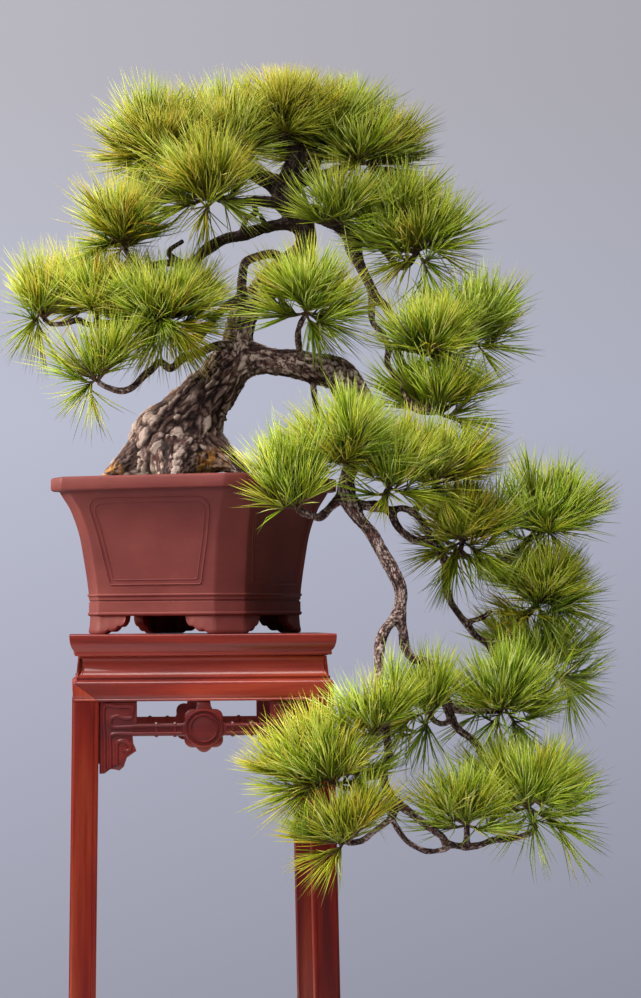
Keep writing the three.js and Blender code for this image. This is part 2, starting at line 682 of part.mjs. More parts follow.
function pot() {
  const rings = POT_WALLS.map(([z, half]) => octagon(half, POT_CHAMFER, z));
  const body = loft(rings);
  const rim = loft([
    octagon(POT_RIM_HALF - 2, POT_RIM_CHAMFER, POT_RIM_BOTTOM - 1),
    octagon(POT_RIM_HALF, POT_RIM_CHAMFER, POT_RIM_BOTTOM + 3),
    octagon(POT_RIM_HALF, POT_RIM_CHAMFER, POT_TOP - 3),
    octagon(POT_RIM_HALF - 3, POT_RIM_CHAMFER, POT_TOP),
  ]);
  const feet = [0, 1, 2, 3].flatMap((i) => foot().map((piece) => piece.rotateZ((i * Math.PI) / 2)));
  const hollow = loft(innerRings(0, POT_FLOOR, POT_TOP + 5));
  const drain = new THREE.CylinderGeometry(DRAIN_R, DRAIN_R, 2 * POT_FOOT, 16);
  drain.rotateX(Math.PI / 2);
  drain.translate(0, 0, POT_FOOT);
  const outside = joined([body, rim, ...feet]);
  return toGeometry(outside.subtract(toSolid(hollow)).subtract(toSolid(drain)));
}

// Soil, with a plain hole that the root ball of the tree stands in
function soil() {
  const fill = loft(innerRings(GAP, POT_FLOOR + GAP, SOIL_TOP));
  const deep = SOIL_TOP - ROOT_HOLE_Z;
  const hole = new THREE.CylinderGeometry(ROOT_HOLE_R, ROOT_HOLE_R, 2 * deep, 24);
  hole.rotateX(Math.PI / 2);
  const place = new THREE.Vector3(ROOT_HOLE_X - POT_X, 0, SOIL_TOP);
  place.applyAxisAngle(new THREE.Vector3(0, 0, 1), -POT_YAW);
  hole.translate(place.x, place.y, place.z);
  return toGeometry(toSolid(fill).subtract(toSolid(hole)));
}

function pottery() {
  const parts = new THREE.Group();
  parts.add(named('pot', pot(), 'clay'));
  parts.add(named('soil', soil(), 'soil'));
  parts.rotation.z = POT_YAW;
  parts.position.set(POT_X, 0, GAP);
  return parts;
}

// Tree

const THICK_LIMBS = [CASCADE, CROWN_RIGHT, UPPER_LEFT, CROWN_LEFT];
const THIN_LIMBS = [TAIL, TAIL_RIGHT, RING, RING_TOP, LOWER_LEFT, LEFT_DIAGONAL, ...BARE];
const TWIGS = Object.values(SPRAYS).map(({ route }) => route);

// The trunk with all its branches, level where it stands on the soil, and its root ball
function tree() {
  const underSoil = new THREE.BoxGeometry(ROOT_SPREAD, ROOT_SPREAD, 2 * ROOT_CUT);
  underSoil.translate(0, 0, SOIL_TOP + 2 * GAP - ROOT_CUT);
  const roots = ROOTS.map((route) => limb(route, 6, 0.04));
  const base = joined([limb(TRUNK, 10, 0.05), ...roots]).subtract(toSolid(underSoil));
  const limbs = [
    ...THICK_LIMBS.map((route) => limb(route, 6, 0.03)),
    ...THIN_LIMBS.map((route) => limb(route, 4)),
    ...TWIGS.map((route) => limb(route, 4)),
  ];
  const high = SOIL_TOP - ROOT_HOLE_Z + PLUG_INTO;
  const plug = new THREE.CylinderGeometry(ROOT_HOLE_R - GAP, PLUG_BOTTOM_R, high, 24);
  plug.rotateX(Math.PI / 2);
  plug.translate(ROOT_HOLE_X, 0, ROOT_HOLE_Z + 2 * GAP + high / 2);
  return toGeometry(base.add(joined(limbs)).add(toSolid(plug)));
}

// Foliage

// Capsules that needles keep clear of: from, to, radius at each end and owner
function limbCapsules() {
  const routes = [TRUNK, ...ROOTS, ...THICK_LIMBS, ...THIN_LIMBS, ...TWIGS];
  return routes.flatMap((route) => route.slice(1).map((point, i) => ({
    from: new THREE.Vector3(...route[i].slice(0, 3)),
    to: new THREE.Vector3(...point.slice(0, 3)),
    fromR: route[i][3] * BARK_ROOM,
    toR: point[3] * BARK_ROOM,
    owner: 'tree',
  })));
}

// The shoots of a spray. The one most in line with the twig stands on its tip, just
// far enough off for the edge of its flat end to stay clear; the others leave it in turn.
function sprayShoots(name) {
  const { route, arms } = SPRAYS[name];
  const tip = new THREE.Vector3(...route.at(-1).slice(0, 3));
  const before = new THREE.Vector3(...route.at(-2).slice(0, 3));
  const along = tip.clone().sub(before).normalize();
  const steps = arms.map((step) => new THREE.Vector3(...step));
  steps.sort((a, b) => a.angleTo(along) - b.angleTo(along));
  const lean = steps[0].angleTo(along);
  const root = tip.clone().addScaledVector(along, GAP + 0.9 * ARM_R * Math.sin(lean));
  const leader = steps[0].clone().normalize();
  return steps.map((step, k) => ({
    from: root.clone().addScaledVector(leader, k * SHOOT_APART),
    to: root.clone().add(step),
    fromR: ARM_R,
    toR: ARM_TIP_R,
    owner: name,
  }));
}

// Nearest distance between two segments, and how far along each it lies
function between(a, b) {
  const u = a.to.clone().sub(a.from);
  const v = b.to.clone().sub(b.from);
  const w = a.from.clone().sub(b.from);
  const uu = u.dot(u);
  const uv = u.dot(v);
  const vv = v.dot(v);
  const uw = u.dot(w);
  const vw = v.dot(w);
  const clamp = (value) => Math.min(Math.max(value, 0), 1);
  const det = uu * vv - uv * uv;
  let s = det > 1e-9 ? clamp((uv * vw - vv * uw) / det) : 0;
  const t = clamp((uv * s + vw) / vv);
  s = clamp((uv * t - uw) / uu);
  const distance = a.from.clone().addScaledVector(u, s)
    .distanceTo(b.from.clone().addScaledVector(v, t));
  return { distance, s, t };
}

function touches(a, b) {
  const { distance, s, t } = between(a, b);
  const room = a.fromR + s * (a.toR - a.fromR) + b.fromR + t * (b.toR - b.fromR);
  return distance < room + CLEARANCE;
}

// Whether a point lies in the space of the pot with its soil, or of the stand
function inPotOrStand(point) {
  if (point.z < POT_ROOM) {
    const reach = STAND_HALF + LEG_SPLAY + POT_ROOM;
    return Math.max(Math.abs(point.x), Math.abs(point.y)) < reach;
  }
  if (point.z > POT_TOP + POT_ROOM) {
    return false;
  }
  const local = point.clone().sub(new THREE.Vector3(POT_X, 0, 0));
  local.applyAxisAngle(new THREE.Vector3(0, 0, 1), -POT_YAW);
  const wall = innerHalf(Math.max(point.z, POT_FOOT)) + POT_WALL;
  const half = point.z > POT_RIM_BOTTOM - POT_ROOM ? POT_RIM_HALF : wall;
  return Math.max(Math.abs(local.x), Math.abs(local.y)) < half + POT_ROOM;
}

// A needle from a shoot: it leaves through one of the shoot's flat sides, with its
// start along the shoot and its lean set by its number
function drawNeedle(shoot, number, count, draw, random) {
  const along = shoot.to.clone().sub(shoot.from);
  const share = (number + 0.5) / count;
  const place = FIRST_NEEDLE + (LAST_NEEDLE - FIRST_NEEDLE) * share;
  const start = shoot.from.clone().addScaledVector(along, place);
  const turned = new THREE.Quaternion().setFromUnitVectors(UP_Y, along.normalize());
  const side = (Math.PI / ARM_SIDES) * (1 + 2 * (number + draw)) + 0.5 * (random() - 0.5);
  const outward = new THREE.Vector3(Math.sin(side), 0, Math.cos(side)).applyQuaternion(turned);
  const lean = (LEAN_LEAST + LEAN_MORE * (1 - share)) * (0.8 + 0.4 * random());
  const direction = along.multiplyScalar(Math.cos(lean)).addScaledVector(outward, Math.sin(lean));
  direction.z += NEEDLE_LIFT;
  const length = NEEDLE_LENGTH + (2 * random() - 1) * NEEDLE_VARIES;
  return {
    from: start,
    to: start.clone().addScaledVector(direction.normalize(), length),
    fromR: NEEDLE_R,
    toR: 0,
    owner: shoot.owner,
  };
}

function isClear(needle, others) {
  for (let i = 1; i <= 8; i += 1) {
    if (inPotOrStand(needle.from.clone().lerp(needle.to, i / 8))) {
      return false;
    }
  }
  const free = { ...needle, from: needle.from.clone().lerp(needle.to, ROOT_SHARE) };
  return !others.some((other) => touches(other.owner === needle.owner ? free : needle, other));
}

// The first drawn needle that is clear of all that stands already, in a list, or none
function placeNeedle(shoots, dealt, total, taken, random) {
  const turn = dealt % shoots.length;
  const number = Math.floor(dealt / shoots.length);
  const count = Math.ceil((total - turn) / shoots.length);
  for (let draw = 0; draw < DRAWS; draw += 1) {
    const needle = drawNeedle(shoots[turn], number, count, draw, random);
    if (isClear(needle, taken)) {
      return [needle];
    }
  }
  return [];
}

function foliage() {
  const parts = new THREE.Group();
  const random = seeded(17);
  const names = Object.keys(SPRAYS);
  const sprays = Object.fromEntries(names.map((name) => [name, sprayShoots(name)]));
  const taken = limbCapsules();
  taken.push(...Object.values(sprays).flat());
  const needles = Object.fromEntries(names.map((name) => [name, []]));
  const totals = names.map((name) => NEEDLES_MORE + NEEDLES_PER_SHOOT * sprays[name].length);
  for (let dealt = Math.max(...totals) - 1; dealt >= 0; dealt -= 1) {
    names.forEach((name, i) => {
      if (dealt < totals[i]) {
        const needle = placeNeedle(sprays[name], dealt, totals[i], taken, random);
        taken.push(...needle);
        needles[name].push(...needle);
      }
    });
  }
  for (const name of names) {
    const geometries = [
      ...sprays[name].map(({ from, to }) => bar(from, to, ARM_R, ARM_TIP_R, ARM_SIDES)),
      ...needles[name].map(({ from, to }) => bar(from, to, NEEDLE_R, 0, NEEDLE_SIDES)),
    ];
    parts.add(named(`needles_${name}`, toGeometry(joined(geometries)), 'needles'));
  }
  return parts;
}

// The whole object, moved so that its origin is at the bottom centre of its box
function bonsai() {
  const whole = new THREE.Group();
  whole.add(stand(), pottery(), named('tree', tree(), 'bark'), foliage());
  whole.updateMatrixWorld(true);
  const box = new THREE.Box3().setFromObject(whole, true);
  const centre = box.getCenter(new THREE.Vector3());
  whole.position.set(-centre.x, -centre.y, -box.min.z);
  const model = new THREE.Group();
  model.add(whole);
  return model;
}

export default bonsai();
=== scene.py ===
"""A huangshan pine bonsai in a square clay pot, on a tall rosewood stand.

Metres, +Z up, the front toward -Y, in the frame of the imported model. Sizes and the routes
of trunk, limbs and twigs are those of the part's source: millimetres from the centre of
the stand's top. MM and TOP turn them into places in the frame.
"""
import math
from itertools import product

import bpy
import numpy as np
from mathutils import Matrix, Vector
from mathutils.geometry import tessellate_polygon


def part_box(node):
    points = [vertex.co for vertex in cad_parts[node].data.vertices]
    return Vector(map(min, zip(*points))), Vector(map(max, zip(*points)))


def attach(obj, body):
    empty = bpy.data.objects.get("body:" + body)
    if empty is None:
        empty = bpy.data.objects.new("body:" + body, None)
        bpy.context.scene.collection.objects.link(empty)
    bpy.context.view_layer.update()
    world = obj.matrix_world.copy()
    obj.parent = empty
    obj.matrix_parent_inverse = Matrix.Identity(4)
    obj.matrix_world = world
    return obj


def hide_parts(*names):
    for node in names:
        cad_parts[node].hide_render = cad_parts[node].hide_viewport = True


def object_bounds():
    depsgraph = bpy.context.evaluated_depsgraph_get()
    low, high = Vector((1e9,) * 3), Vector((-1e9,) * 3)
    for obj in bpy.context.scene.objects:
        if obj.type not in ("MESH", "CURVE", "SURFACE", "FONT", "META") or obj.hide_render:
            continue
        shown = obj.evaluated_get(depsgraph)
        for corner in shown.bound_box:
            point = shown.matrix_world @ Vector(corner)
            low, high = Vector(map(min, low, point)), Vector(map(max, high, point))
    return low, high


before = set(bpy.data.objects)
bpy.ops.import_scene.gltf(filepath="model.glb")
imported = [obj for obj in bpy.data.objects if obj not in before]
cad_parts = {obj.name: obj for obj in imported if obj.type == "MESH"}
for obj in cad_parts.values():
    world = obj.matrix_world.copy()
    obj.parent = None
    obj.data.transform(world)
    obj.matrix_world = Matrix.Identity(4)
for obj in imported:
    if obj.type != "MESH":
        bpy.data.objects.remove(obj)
cad_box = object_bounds()

MM = 0.001
TOP = np.array([
    (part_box("rail_left")[0].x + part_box("rail_right")[1].x) / 2,
    (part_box("rail_front")[0].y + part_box("rail_back")[1].y) / 2,
    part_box("rail_front")[1].z,
])
FRONT = np.array([0.0, -1.0, 0.0])
GOLDEN_ANGLE = 2.39996

# Stand
GAP = 0.3  # between solids that rest on each other
STAND_HEIGHT = 750
STAND_HALF = 180
TOP_THICK = 30
RAIL_INNER = 120
APRON_BOTTOM = 90  # depth below the top
APRON_BACK = 158
APRON_FACE_TOP = -60.5
MITRE_HIGH = 26  # height of the diagonal where an apron meets a leg
LEG_OUTER = 176
LEG_WIDTH = 35
LEG_SPLAY = 10  # how far a leg has moved out at its sole
LEG_SLOPE = 0.0151  # how far it moves out for each millimetre down
LEG_POST = 16
STRETCHER_Z = 110  # height above the floor
STRETCHER_HIGH = 26
STRETCHER_DEEP = 20
FRIEZE_THICK = 12
FRIEZE_FRONT = 170
BAR_TOP = -120
BAR_BOTTOM = -137
MEDALLION_Z = -127
MEDALLION_R = 30
MEDALLION_LOBES = 8
MEDALLION_LOBE_HIGH = 2.4

# Pot
POT_YAW = math.radians(-29)
POT_X = -4
POT_FOOT = 25
POT_CHAMFER = 31
POT_WALL = 12
CHAMFER_SHRINK = 0.59  # of the chamfer for each millimetre inward
POT_RIM_HALF = 161
POT_RIM_CHAMFER = 35
POT_RIM_BOTTOM = 198
POT_TOP = 217
POT_WALLS = [
    # height, half width between flats
    (25, 121), (60, 121.5), (111, 127), (142, 131.5), (172, 139.5), (190, 147.5), (198, 151),
]
POT_FLOOR = 38
POT_LINES_END = 58  # height up to which the outside is made in fine levels
POT_BEADS = [(28.0, 2.2, 1.3), (53.5, 2.0, 1.4)]  # height, half width, relief
POT_GROOVE = (45.5, 1.5, 1.3)
PANEL_LOW = 68
PANEL_HIGH = 186
PANEL_HALVES = (71, 92)  # half its width at those two heights
PANEL_CORNERS = (4, 15)  # radius of its corners, low and high
PANEL_THREADS = [(0, 2.2, 1.1), (6.5, 1.7, 0.7)]  # how far in, width, relief
DRAIN_R = 14
SOIL_TOP = 212
FOOT_WING = 46
FOOT_FLAT = 16  # half its flat stretch
FOOT_LOBES = 3  # to each side
FOOT_THICK = 14

# Bark
BARK_DEEP = 4.8  # the most depth of its relief
BARK_DEPTH = 0.105  # and the depth as a share of the limb's radius
BARK_PLATE = 10.0  # the most width of its scales
BARK_WIDTH = 0.27  # and the width as a share of the radius
BARK_LONG = 2.3  # length of scales to their width
WANDER = 0.20  # of a limb from its route, in radii
KNOTS = 0.13  # how far its thickness varies
LICHEN = [((20, -52, 232), 34), ((-122, -30, 225), 22)]  # places by the pot's rim, and reach
# Painted shade: the bark darkens from the first of these heights to the second, under the crown
CROWN_BARK_SHADE = (0.46, 0.56)  # heights where bark darkens, in metres above the stand's top

# Shoots
SHOOT_R = 1.9
SHOOT_APART = 4.5  # between the roots of a spray's shoots
SHOOT_ROOM = 2.6  # radius of the solids' shoots, which clear the twig's tip
SIDE_EVERY = 12  # length of shoot to each side shoot
SIDE_LENGTH = (14, 30)
STRAYS = 4  # longer shoots of a spray
STRAY_LENGTH = (44, 70)

# Needles
NEEDLE_LENGTH = 76
NEEDLE_VARIES = 8
NEEDLE_R = 0.9
NEEDLE_LIFT = 0.32  # how far they turn up
NEEDLE_DROOP = 0.45  # how much is left of the way that one would hang
FIRST_NEEDLE = 0.3  # places along the shoot, as shares of its length
LAST_NEEDLE = 0.97
LEAN_LEAST = 0.05
LEAN_MORE = 0.72
PAIRS_MAIN = 18  # on a shoot
PAIRS_SIDE = 11  # on a side shoot
PAIR_SPREAD = 0.06  # how far the needles of a pair part
THINNER = 0.72  # share of pairs on sprays that GOLD doesn't name
FRINGE = 0.16  # share of needles that stray from their tuft
# Painted shade: needles turn darker olive from the first of these heights to the second
CROWN_NEEDLE_SHADE = (0.42, 0.70)  # heights where they turn olive, in metres above the stand's top

# Routes: points x, y, z and radius
TRUNK = [
    (-30, 5, 196, 50), (-32, 5, 222, 58), (-24, 4, 262, 52), (-8, 2, 292, 44), (13, 0, 323, 37),
    (32, 2, 344, 33), (45, 5, 366, 30), (56, 7, 386, 26), (59, 9, 402, 22), (60, 12, 422, 21),
    (67, 18, 456, 21), (88, 24, 481, 20), (106, 27, 502, 18), (129, 25, 521, 17),
    (150, 17, 540, 16), (153, 8, 563, 16), (141, 3, 586, 17), (128, 0, 607, 17),
    (130, -1, 630, 15), (141, 0, 668, 11), (146, 2, 692, 7),
]
ROOTS = [
    [(-48, 0, 266, 40), (-84, -8, 240, 31), (-117, -14, 217, 20), (-132, -18, 205, 12)],
    [(-5, -8, 262, 34), (28, -20, 250, 24), (54, -26, 231, 15), (64, -28, 208, 9)],
    [(-25, -24, 252, 34), (-32, -56, 228, 23), (-42, -84, 204, 13)],
    [(-20, 36, 252, 34), (-8, 72, 226, 23), (4, 98, 204, 13)],
]
CASCADE = [
    (56, 6, 378, 18), (80, 0, 384, 19), (107, -10, 380, 17), (135, -20, 377, 18),
    (158, -30, 371, 19), (193, -40, 362, 21), (208, -55, 338, 23), (219, -70, 315, 21),
    (222, -85, 292, 17), (218, -100, 263, 13), (206, -120, 231, 11), (197, -135, 196, 10),
    (210, -150, 162, 9.5), (228, -160, 138, 9), (242, -168, 111, 9), (255, -175, 88, 9),
    (267, -182, 59, 8.5), (265, -190, 32, 8.5), (262, -195, 18, 8),
]
TAIL = [
    (263, -194, 26, 7.5), (242, -209, 2, 7.5), (233, -219, -26, 7), (232, -226, -56, 6.5),
    (239, -234, -112, 6), (244, -240, -163, 6), (236, -240, -185, 6), (244, -238, -212, 5.5),
    (257, -235, -227, 5.5), (279, -230, -245, 5.5), (301, -225, -261, 5), (316, -220, -273, 5),
    (326, -217, -284, 5), (364, -205, -287, 4.5), (387, -200, -280, 4),
]
TAIL_RIGHT = [
    (263, -194, 26, 7), (269, -197, 2, 7), (272, -194, -20, 6.5), (281, -190, -33, 6),
    (298, -180, -38, 6), (315, -166, -48, 6), (326, -151, -69, 5.5), (331, -145, -96, 5.5),
    (340, -139, -118, 5.5), (350, -130, -133, 5.5), (367, -121, -145, 5), (379, -115, -158, 5),
    (387, -110, -178, 4.5), (392, -108, -194, 4.5),
]
RING = [
    (203, -142, 176, 8), (233, -135, 173, 7), (250, -125, 170, 6.5), (261, -115, 166, 6),
    (270, -101, 149, 5.5), (282, -91, 137, 5.5), (298, -80, 128, 5.5), (315, -70, 129, 5),
    (329, -60, 120, 5), (341, -51, 102, 5), (343, -45, 70, 5), (349, -40, 47, 5),
    (363, -35, 26, 4.5), (377, -29, 9, 4.5),
]
RING_TOP = [
    (258, -118, 166, 5), (275, -110, 171, 4.5), (292, -100, 166, 4.5), (309, -82, 152, 4.5),
    (322, -66, 132, 4.5),
]
UPPER_LEFT = [
    (139, 2, 578, 10), (99, -10, 569, 8), (63, -20, 557, 8), (37, -25, 551, 8), (9, -30, 535, 7.5),
    (-8, -35, 516, 7), (-27, -40, 515, 5.5),
]
CROWN_LEFT = [(128, 0, 612, 11), (90, -5, 640, 9), (50, -8, 654, 8), (12, -15, 666, 7)]
LOWER_LEFT = [(56, 4, 402, 8), (26, -15, 403, 7), (2, -30, 392, 6), (-20, -40, 385, 5.5)]
LEFT_DIAGONAL = [(64, 14, 474, 8), (37, -20, 454, 6), (18, -34, 432, 5.5), (-2, -45, 408, 5.5)]
CROWN_RIGHT = [
    (146, 8, 592, 13), (172, 20, 592, 12), (201, 28, 577, 12), (220, 29, 560, 12),
    (225, 25, 540, 11), (233, 20, 519, 8), (245, 14, 492, 6.5), (256, 10, 468, 6),
]
BARE = [
    [
        (66, -4, 458, 8), (62, -22, 478, 7), (63, -26, 502, 6.5), (68, -26, 519, 6.5),
        (86, -24, 527, 6.5), (107, -16, 531, 7), (122, 0, 524, 8),
    ],
    [
        (158, -30, 366, 6), (160, -36, 352, 4.5), (163, -40, 323, 4), (168, -43, 297, 3.5),
        (179, -45, 277, 2.5),
    ],
    [(-6, -34, 518, 5.5), (2, -37, 498, 4.5)],
    [(-26, -40, 516, 4.5), (-40, -50, 530, 4), (-21, -60, 545, 3)],
    [
        (64, -20, 557, 5), (64, -36, 566, 4), (69, -45, 579, 3.5), (81, -56, 584, 3.5),
        (79, -61, 595, 3), (94, -66, 606, 2.5),
    ],
    [(100, -10, 569, 5), (92, -32, 576, 3.5), (87, -40, 585, 2.5)],
    [
        (246, -238, -212, 4), (246, -240, -240, 4), (257, -236, -264, 4), (272, -232, -281, 4),
        (294, -228, -291, 4), (316, -222, -290, 4), (326, -217, -285, 4),
    ],
    [(374, -29, 13, 4), (396, -25, 20, 3.5), (410, -20, 29, 3)],
    [(404, -20, -16, 3.5), (410, -29, -34, 3)],
]

# Sprays: the route of each one's twig, and the steps of its shoots from the twig's tip
SPRAYS = {
    "apex": (
        [(142, 0, 668, 8), (130, -8, 688, 6), (118, -12, 700, 5)],
        [(-25, -5, 28), (3, -22, 42), (30, 6, 30)],
    ),
    "crown_centre": (
        [(92, -5, 640, 8), (70, -12, 660, 6), (42, -12, 678, 5)],
        [(-32, 0, 16), (-18, 14, 36), (14, -24, 44), (-8, -26, 18)],
    ),
    "crown_right": (
        [(142, 0, 664, 8), (164, 4, 678, 6), (182, 5, 690, 5)],
        [(8, -16, 34), (38, -6, 28), (56, 8, 10)],
    ),
    "right_edge": (
        [(130, 0, 632, 10), (172, 10, 644, 8), (205, 12, 655, 6.5), (228, 12, 662, 5)],
        [(30, 0, 22), (38, -20, 2), (34, 16, -10)],
    ),
    "upper_left": (
        [(14, -14, 665, 7), (-16, -20, 664, 6), (-46, -28, 668, 5)],
        [(-22, 4, 38), (-34, -12, 18), (-4, -14, 50), (-26, -16, -24), (-12, -28, -6)],
    ),
    "left_crown": (
        [
            (-26, -40, 515, 5.5), (-46, -46, 515, 5), (-76, -54, 510, 4.5), (-91, -55, 520, 4.5),
            (-103, -55, 538, 4),
        ],
        [(-18, 2, 24), (-22, -14, 0), (6, -16, 30)],
    ),
    "crown_front": (
        [(126, -2, 602, 10), (92, -42, 602, 7.5), (50, -68, 598, 6.5), (18, -84, 604, 5)],
        [(-28, -20, 12), (14, -28, 16), (-4, -14, 36)],
    ),
    "back_left": (
        [(130, 4, 628, 11), (100, 44, 650, 8), (58, 80, 670, 6.5), (22, 100, 682, 5)],
        [(-34, 8, 14), (-4, 34, 12), (4, 4, 36)],
    ),
    "back_right": (
        [(132, 4, 622, 11), (156, 42, 646, 8), (174, 74, 666, 6.5), (180, 92, 676, 5)],
        [(-40, 14, 22), (0, 36, 18), (38, 10, 16)],
    ),
    "inner_right": (
        [(186, 24, 586, 9), (194, -2, 578, 6), (199, -20, 574, 5)],
        [(-14, -20, 26), (20, -18, 20), (2, -32, 0)],
    ),
    "right_upper": (
        [(222, 28, 560, 7), (244, 20, 575, 6), (264, 16, 568, 5), (281, 12, 570, 4.5)],
        [(-2, -8, 30), (14, -12, 26), (28, 8, 12)],
    ),
    "right_tip": (
        [
            (222, 28, 566, 7), (245, 14, 560, 5.5), (267, 5, 536, 5), (282, 0, 517, 5),
            (298, -5, 519, 4.5), (311, -10, 536, 4),
        ],
        [(24, -4, 24), (34, -10, 2), (6, -24, 16)],
    ),
    "front": (
        [
            (143, -22, 380, 7), (141, -35, 396, 4.5), (138, -54, 417, 4.5), (142, -76, 432, 4),
            (147, -90, 442, 4),
        ],
        [(-24, -14, 20), (4, -20, 30), (28, -12, 16), (2, -32, 0)],
    ),
    "far_right": (
        [(306, -15, 372, 4.5), (324, -18, 376, 4.5), (350, -18, 394, 4.5), (372, -15, 411, 4)],
        [(-16, -8, 28), (14, -12, 32), (36, 4, 10)],
    ),
    "mid_right": (
        [
            (256, 10, 468, 6), (266, 5, 458, 6), (275, 0, 438, 5.5), (279, -5, 412, 5),
            (284, -10, 386, 5), (292, -14, 372, 4.5), (306, -15, 372, 4.5), (312, -30, 377, 4.5),
            (314, -42, 386, 4),
        ],
        [(-10, -16, 26), (24, -14, 14), (30, -12, -14)],
    ),
    "right_low": (
        [
            (248, 13, 480, 5.5), (247, 4, 440, 4.5), (259, -6, 422, 4.5), (268, -20, 400, 4.5),
            (266, -30, 379, 4.5), (272, -40, 361, 4.5), (284, -50, 345, 4.5), (288, -58, 326, 4.5),
            (304, -62, 309, 4.5), (330, -62, 305, 4),
        ],
        [(30, 0, 18), (36, -6, -12), (4, -14, 26)],
    ),
    "far_left": (
        [
            (-33, -51, 414, 5.2), (-61, -50, 424, 5.2), (-86, -50, 429, 5), (-117, -45, 429, 5),
            (-149, -40, 430, 4.5), (-167, -38, 437, 4.5), (-183, -35, 433, 4), (-204, -31, 431, 4),
            (-214, -28, 439, 4),
        ],
        [(-12, 2, 14), (-14, -6, -8), (0, -14, 16)],
    ),
    "left_up": (
        [(-134, -42, 429, 5), (-140, -44, 437, 4.5), (-142, -46, 447, 4)],
        [(-12, -4, 26), (16, -10, 26), (-22, 10, 12)],
    ),
    "left_mid": (
        [(-3, -44, 410, 6), (-34, -50, 414, 5.5), (-42, -58, 424, 4.5), (-46, -64, 434, 4)],
        [(-56, -12, 10), (-30, -24, 28), (18, -28, 24), (46, -12, 22), (-6, -28, -6)],
    ),
    "left_low": (
        [
            (-18, -39, 386, 5.5), (-38, -50, 369, 5.5), (-54, -54, 377, 5), (-64, -60, 366, 5),
            (-77, -65, 356, 5), (-94, -70, 340, 4.5), (-110, -74, 335, 4.5), (-127, -78, 340, 4),
            (-140, -80, 348, 4),
        ],
        [(-16, 2, 10), (-14, -10, -8), (2, -14, 18)],
    ),
    "pot_edge": (
        [
            (200, -134, 196, 8), (186, -140, 181, 7), (176, -145, 172, 6.5), (167, -150, 163, 6),
            (158, -156, 157, 5.5), (143, -166, 161, 5), (128, -172, 168, 4.5),
        ],
        [(-46, -20, 30), (-22, -24, 62), (18, -16, 60), (-36, -24, 8)],
    ),
    "limb_front": (
        [(213, -110, 247, 9), (201, -130, 236, 5), (194, -142, 234, 4)],
        [(-14, -14, 26), (12, -18, 28), (2, -26, 0)],
    ),
    "middle": (
        [(235, -134, 173, 6), (247, -131, 178, 5), (252, -129, 188, 4.5), (257, -126, 199, 4)],
        [(-24, -12, 28), (0, -22, 44), (32, -14, 30), (16, 10, 40)],
    ),
    "middle_right": (
        [(292, -100, 166, 4.5), (308, -100, 178, 4.5), (320, -98, 192, 4), (324, -96, 204, 4)],
        [(12, -14, 28), (32, -2, 18), (-8, 14, 30)],
    ),
    "inner_up": (
        [(341, -51, 100, 5), (356, -46, 104, 4.5), (365, -44, 116, 4), (368, -42, 126, 4)],
        [(-16, -16, 24), (10, -10, 34), (-4, 18, 24)],
    ),
    "big_right": (
        [
            (358, -46, 106, 4.5), (368, -45, 108, 4.5), (394, -40, 94, 4.5), (417, -35, 95, 4.5),
            (446, -26, 114, 4), (462, -22, 128, 4), (472, -20, 140, 4),
        ],
        [(-4, -12, 52), (36, -6, 46), (56, 2, 20), (20, 28, 26), (24, -20, -10)],
    ),
    "right_mid": (
        [
            (376, -28, 10, 4.5), (387, -25, -5, 4.5), (406, -20, -16, 4.5), (418, -15, -13, 4.5),
            (431, -10, -6, 4), (452, 0, 10, 4), (466, 3, 26, 4), (477, 5, 40, 4),
        ],
        [(26, 0, 18), (32, -12, -8), (4, -20, 22), (-42, -4, 34), (-18, 28, 24)],
    ),
    "right_lower": (
        [
            (430, -10, -7, 4), (446, -2, -26, 4.5), (466, 4, -46, 4.5), (480, 8, -54, 4),
            (492, 10, -52, 4),
        ],
        [(4, -10, 28), (34, 0, 18), (30, 8, -16)],
    ),
    "inner_low": (
        [
            (331, -146, -92, 5), (343, -141, -104, 4.5), (356, -134, -107, 4.5),
            (382, -124, -108, 4), (402, -112, -108, 4), (416, -102, -104, 4),
        ],
        [(0, -8, 34), (22, -6, 24), (32, 8, -4)],
    ),
    "left_hang": (
        [
            (340, -139, -118, 4.5), (328, -147, -124, 4), (316, -154, -120, 4),
            (308, -160, -112, 4),
        ],
        [(-36, -8, -8), (-14, -10, 12), (6, -12, 26)],
    ),
    "tail_top": (
        [(240, -236, -118, 5.5), (232, -248, -130, 4.5), (225, -256, -133, 4)],
        [(-38, -10, -2), (-18, -14, 22), (16, -12, 18)],
    ),
    "big_left": (
        [
            (238, -240, -184, 6), (217, -245, -185, 4.5), (200, -250, -203, 4),
            (184, -254, -206, 4), (170, -256, -198, 4),
        ],
        [(-87, -11, 13), (-54, -6, 36), (-20, -12, 52), (12, -16, 40), (-48, -16, -10)],
    ),
    "low_left": (
        [
            (256, -236, -228, 5), (246, -240, -246, 4), (223, -245, -264, 4), (207, -250, -275, 4),
            (186, -255, -278, 4),
        ],
        [(-22, -6, 4), (-14, -14, -12), (-10, -12, 18)],
    ),
    "low_mid": (
        [(350, -209, -286, 4.5), (352, -206, -272, 4), (352, -205, -260, 4)],
        [(-14, -12, 26), (14, -14, 26), (2, 14, 28)],
    ),
    "low_right": (
        [
            (386, -200, -280, 4), (421, -190, -277, 4), (446, -180, -268, 4), (444, -178, -252, 4),
            (440, -178, -238, 4),
        ],
        [(-8, -10, 32), (28, -8, 28), (42, 0, 14), (18, -28, 12), (14, 18, 20)],
    ),
    "low_back": (
        [(392, -108, -192, 4.5), (415, -105, -213, 4), (446, -100, -230, 4)],
        [(26, 10, 20), (34, -8, -4), (6, 22, 24)],
    ),
}

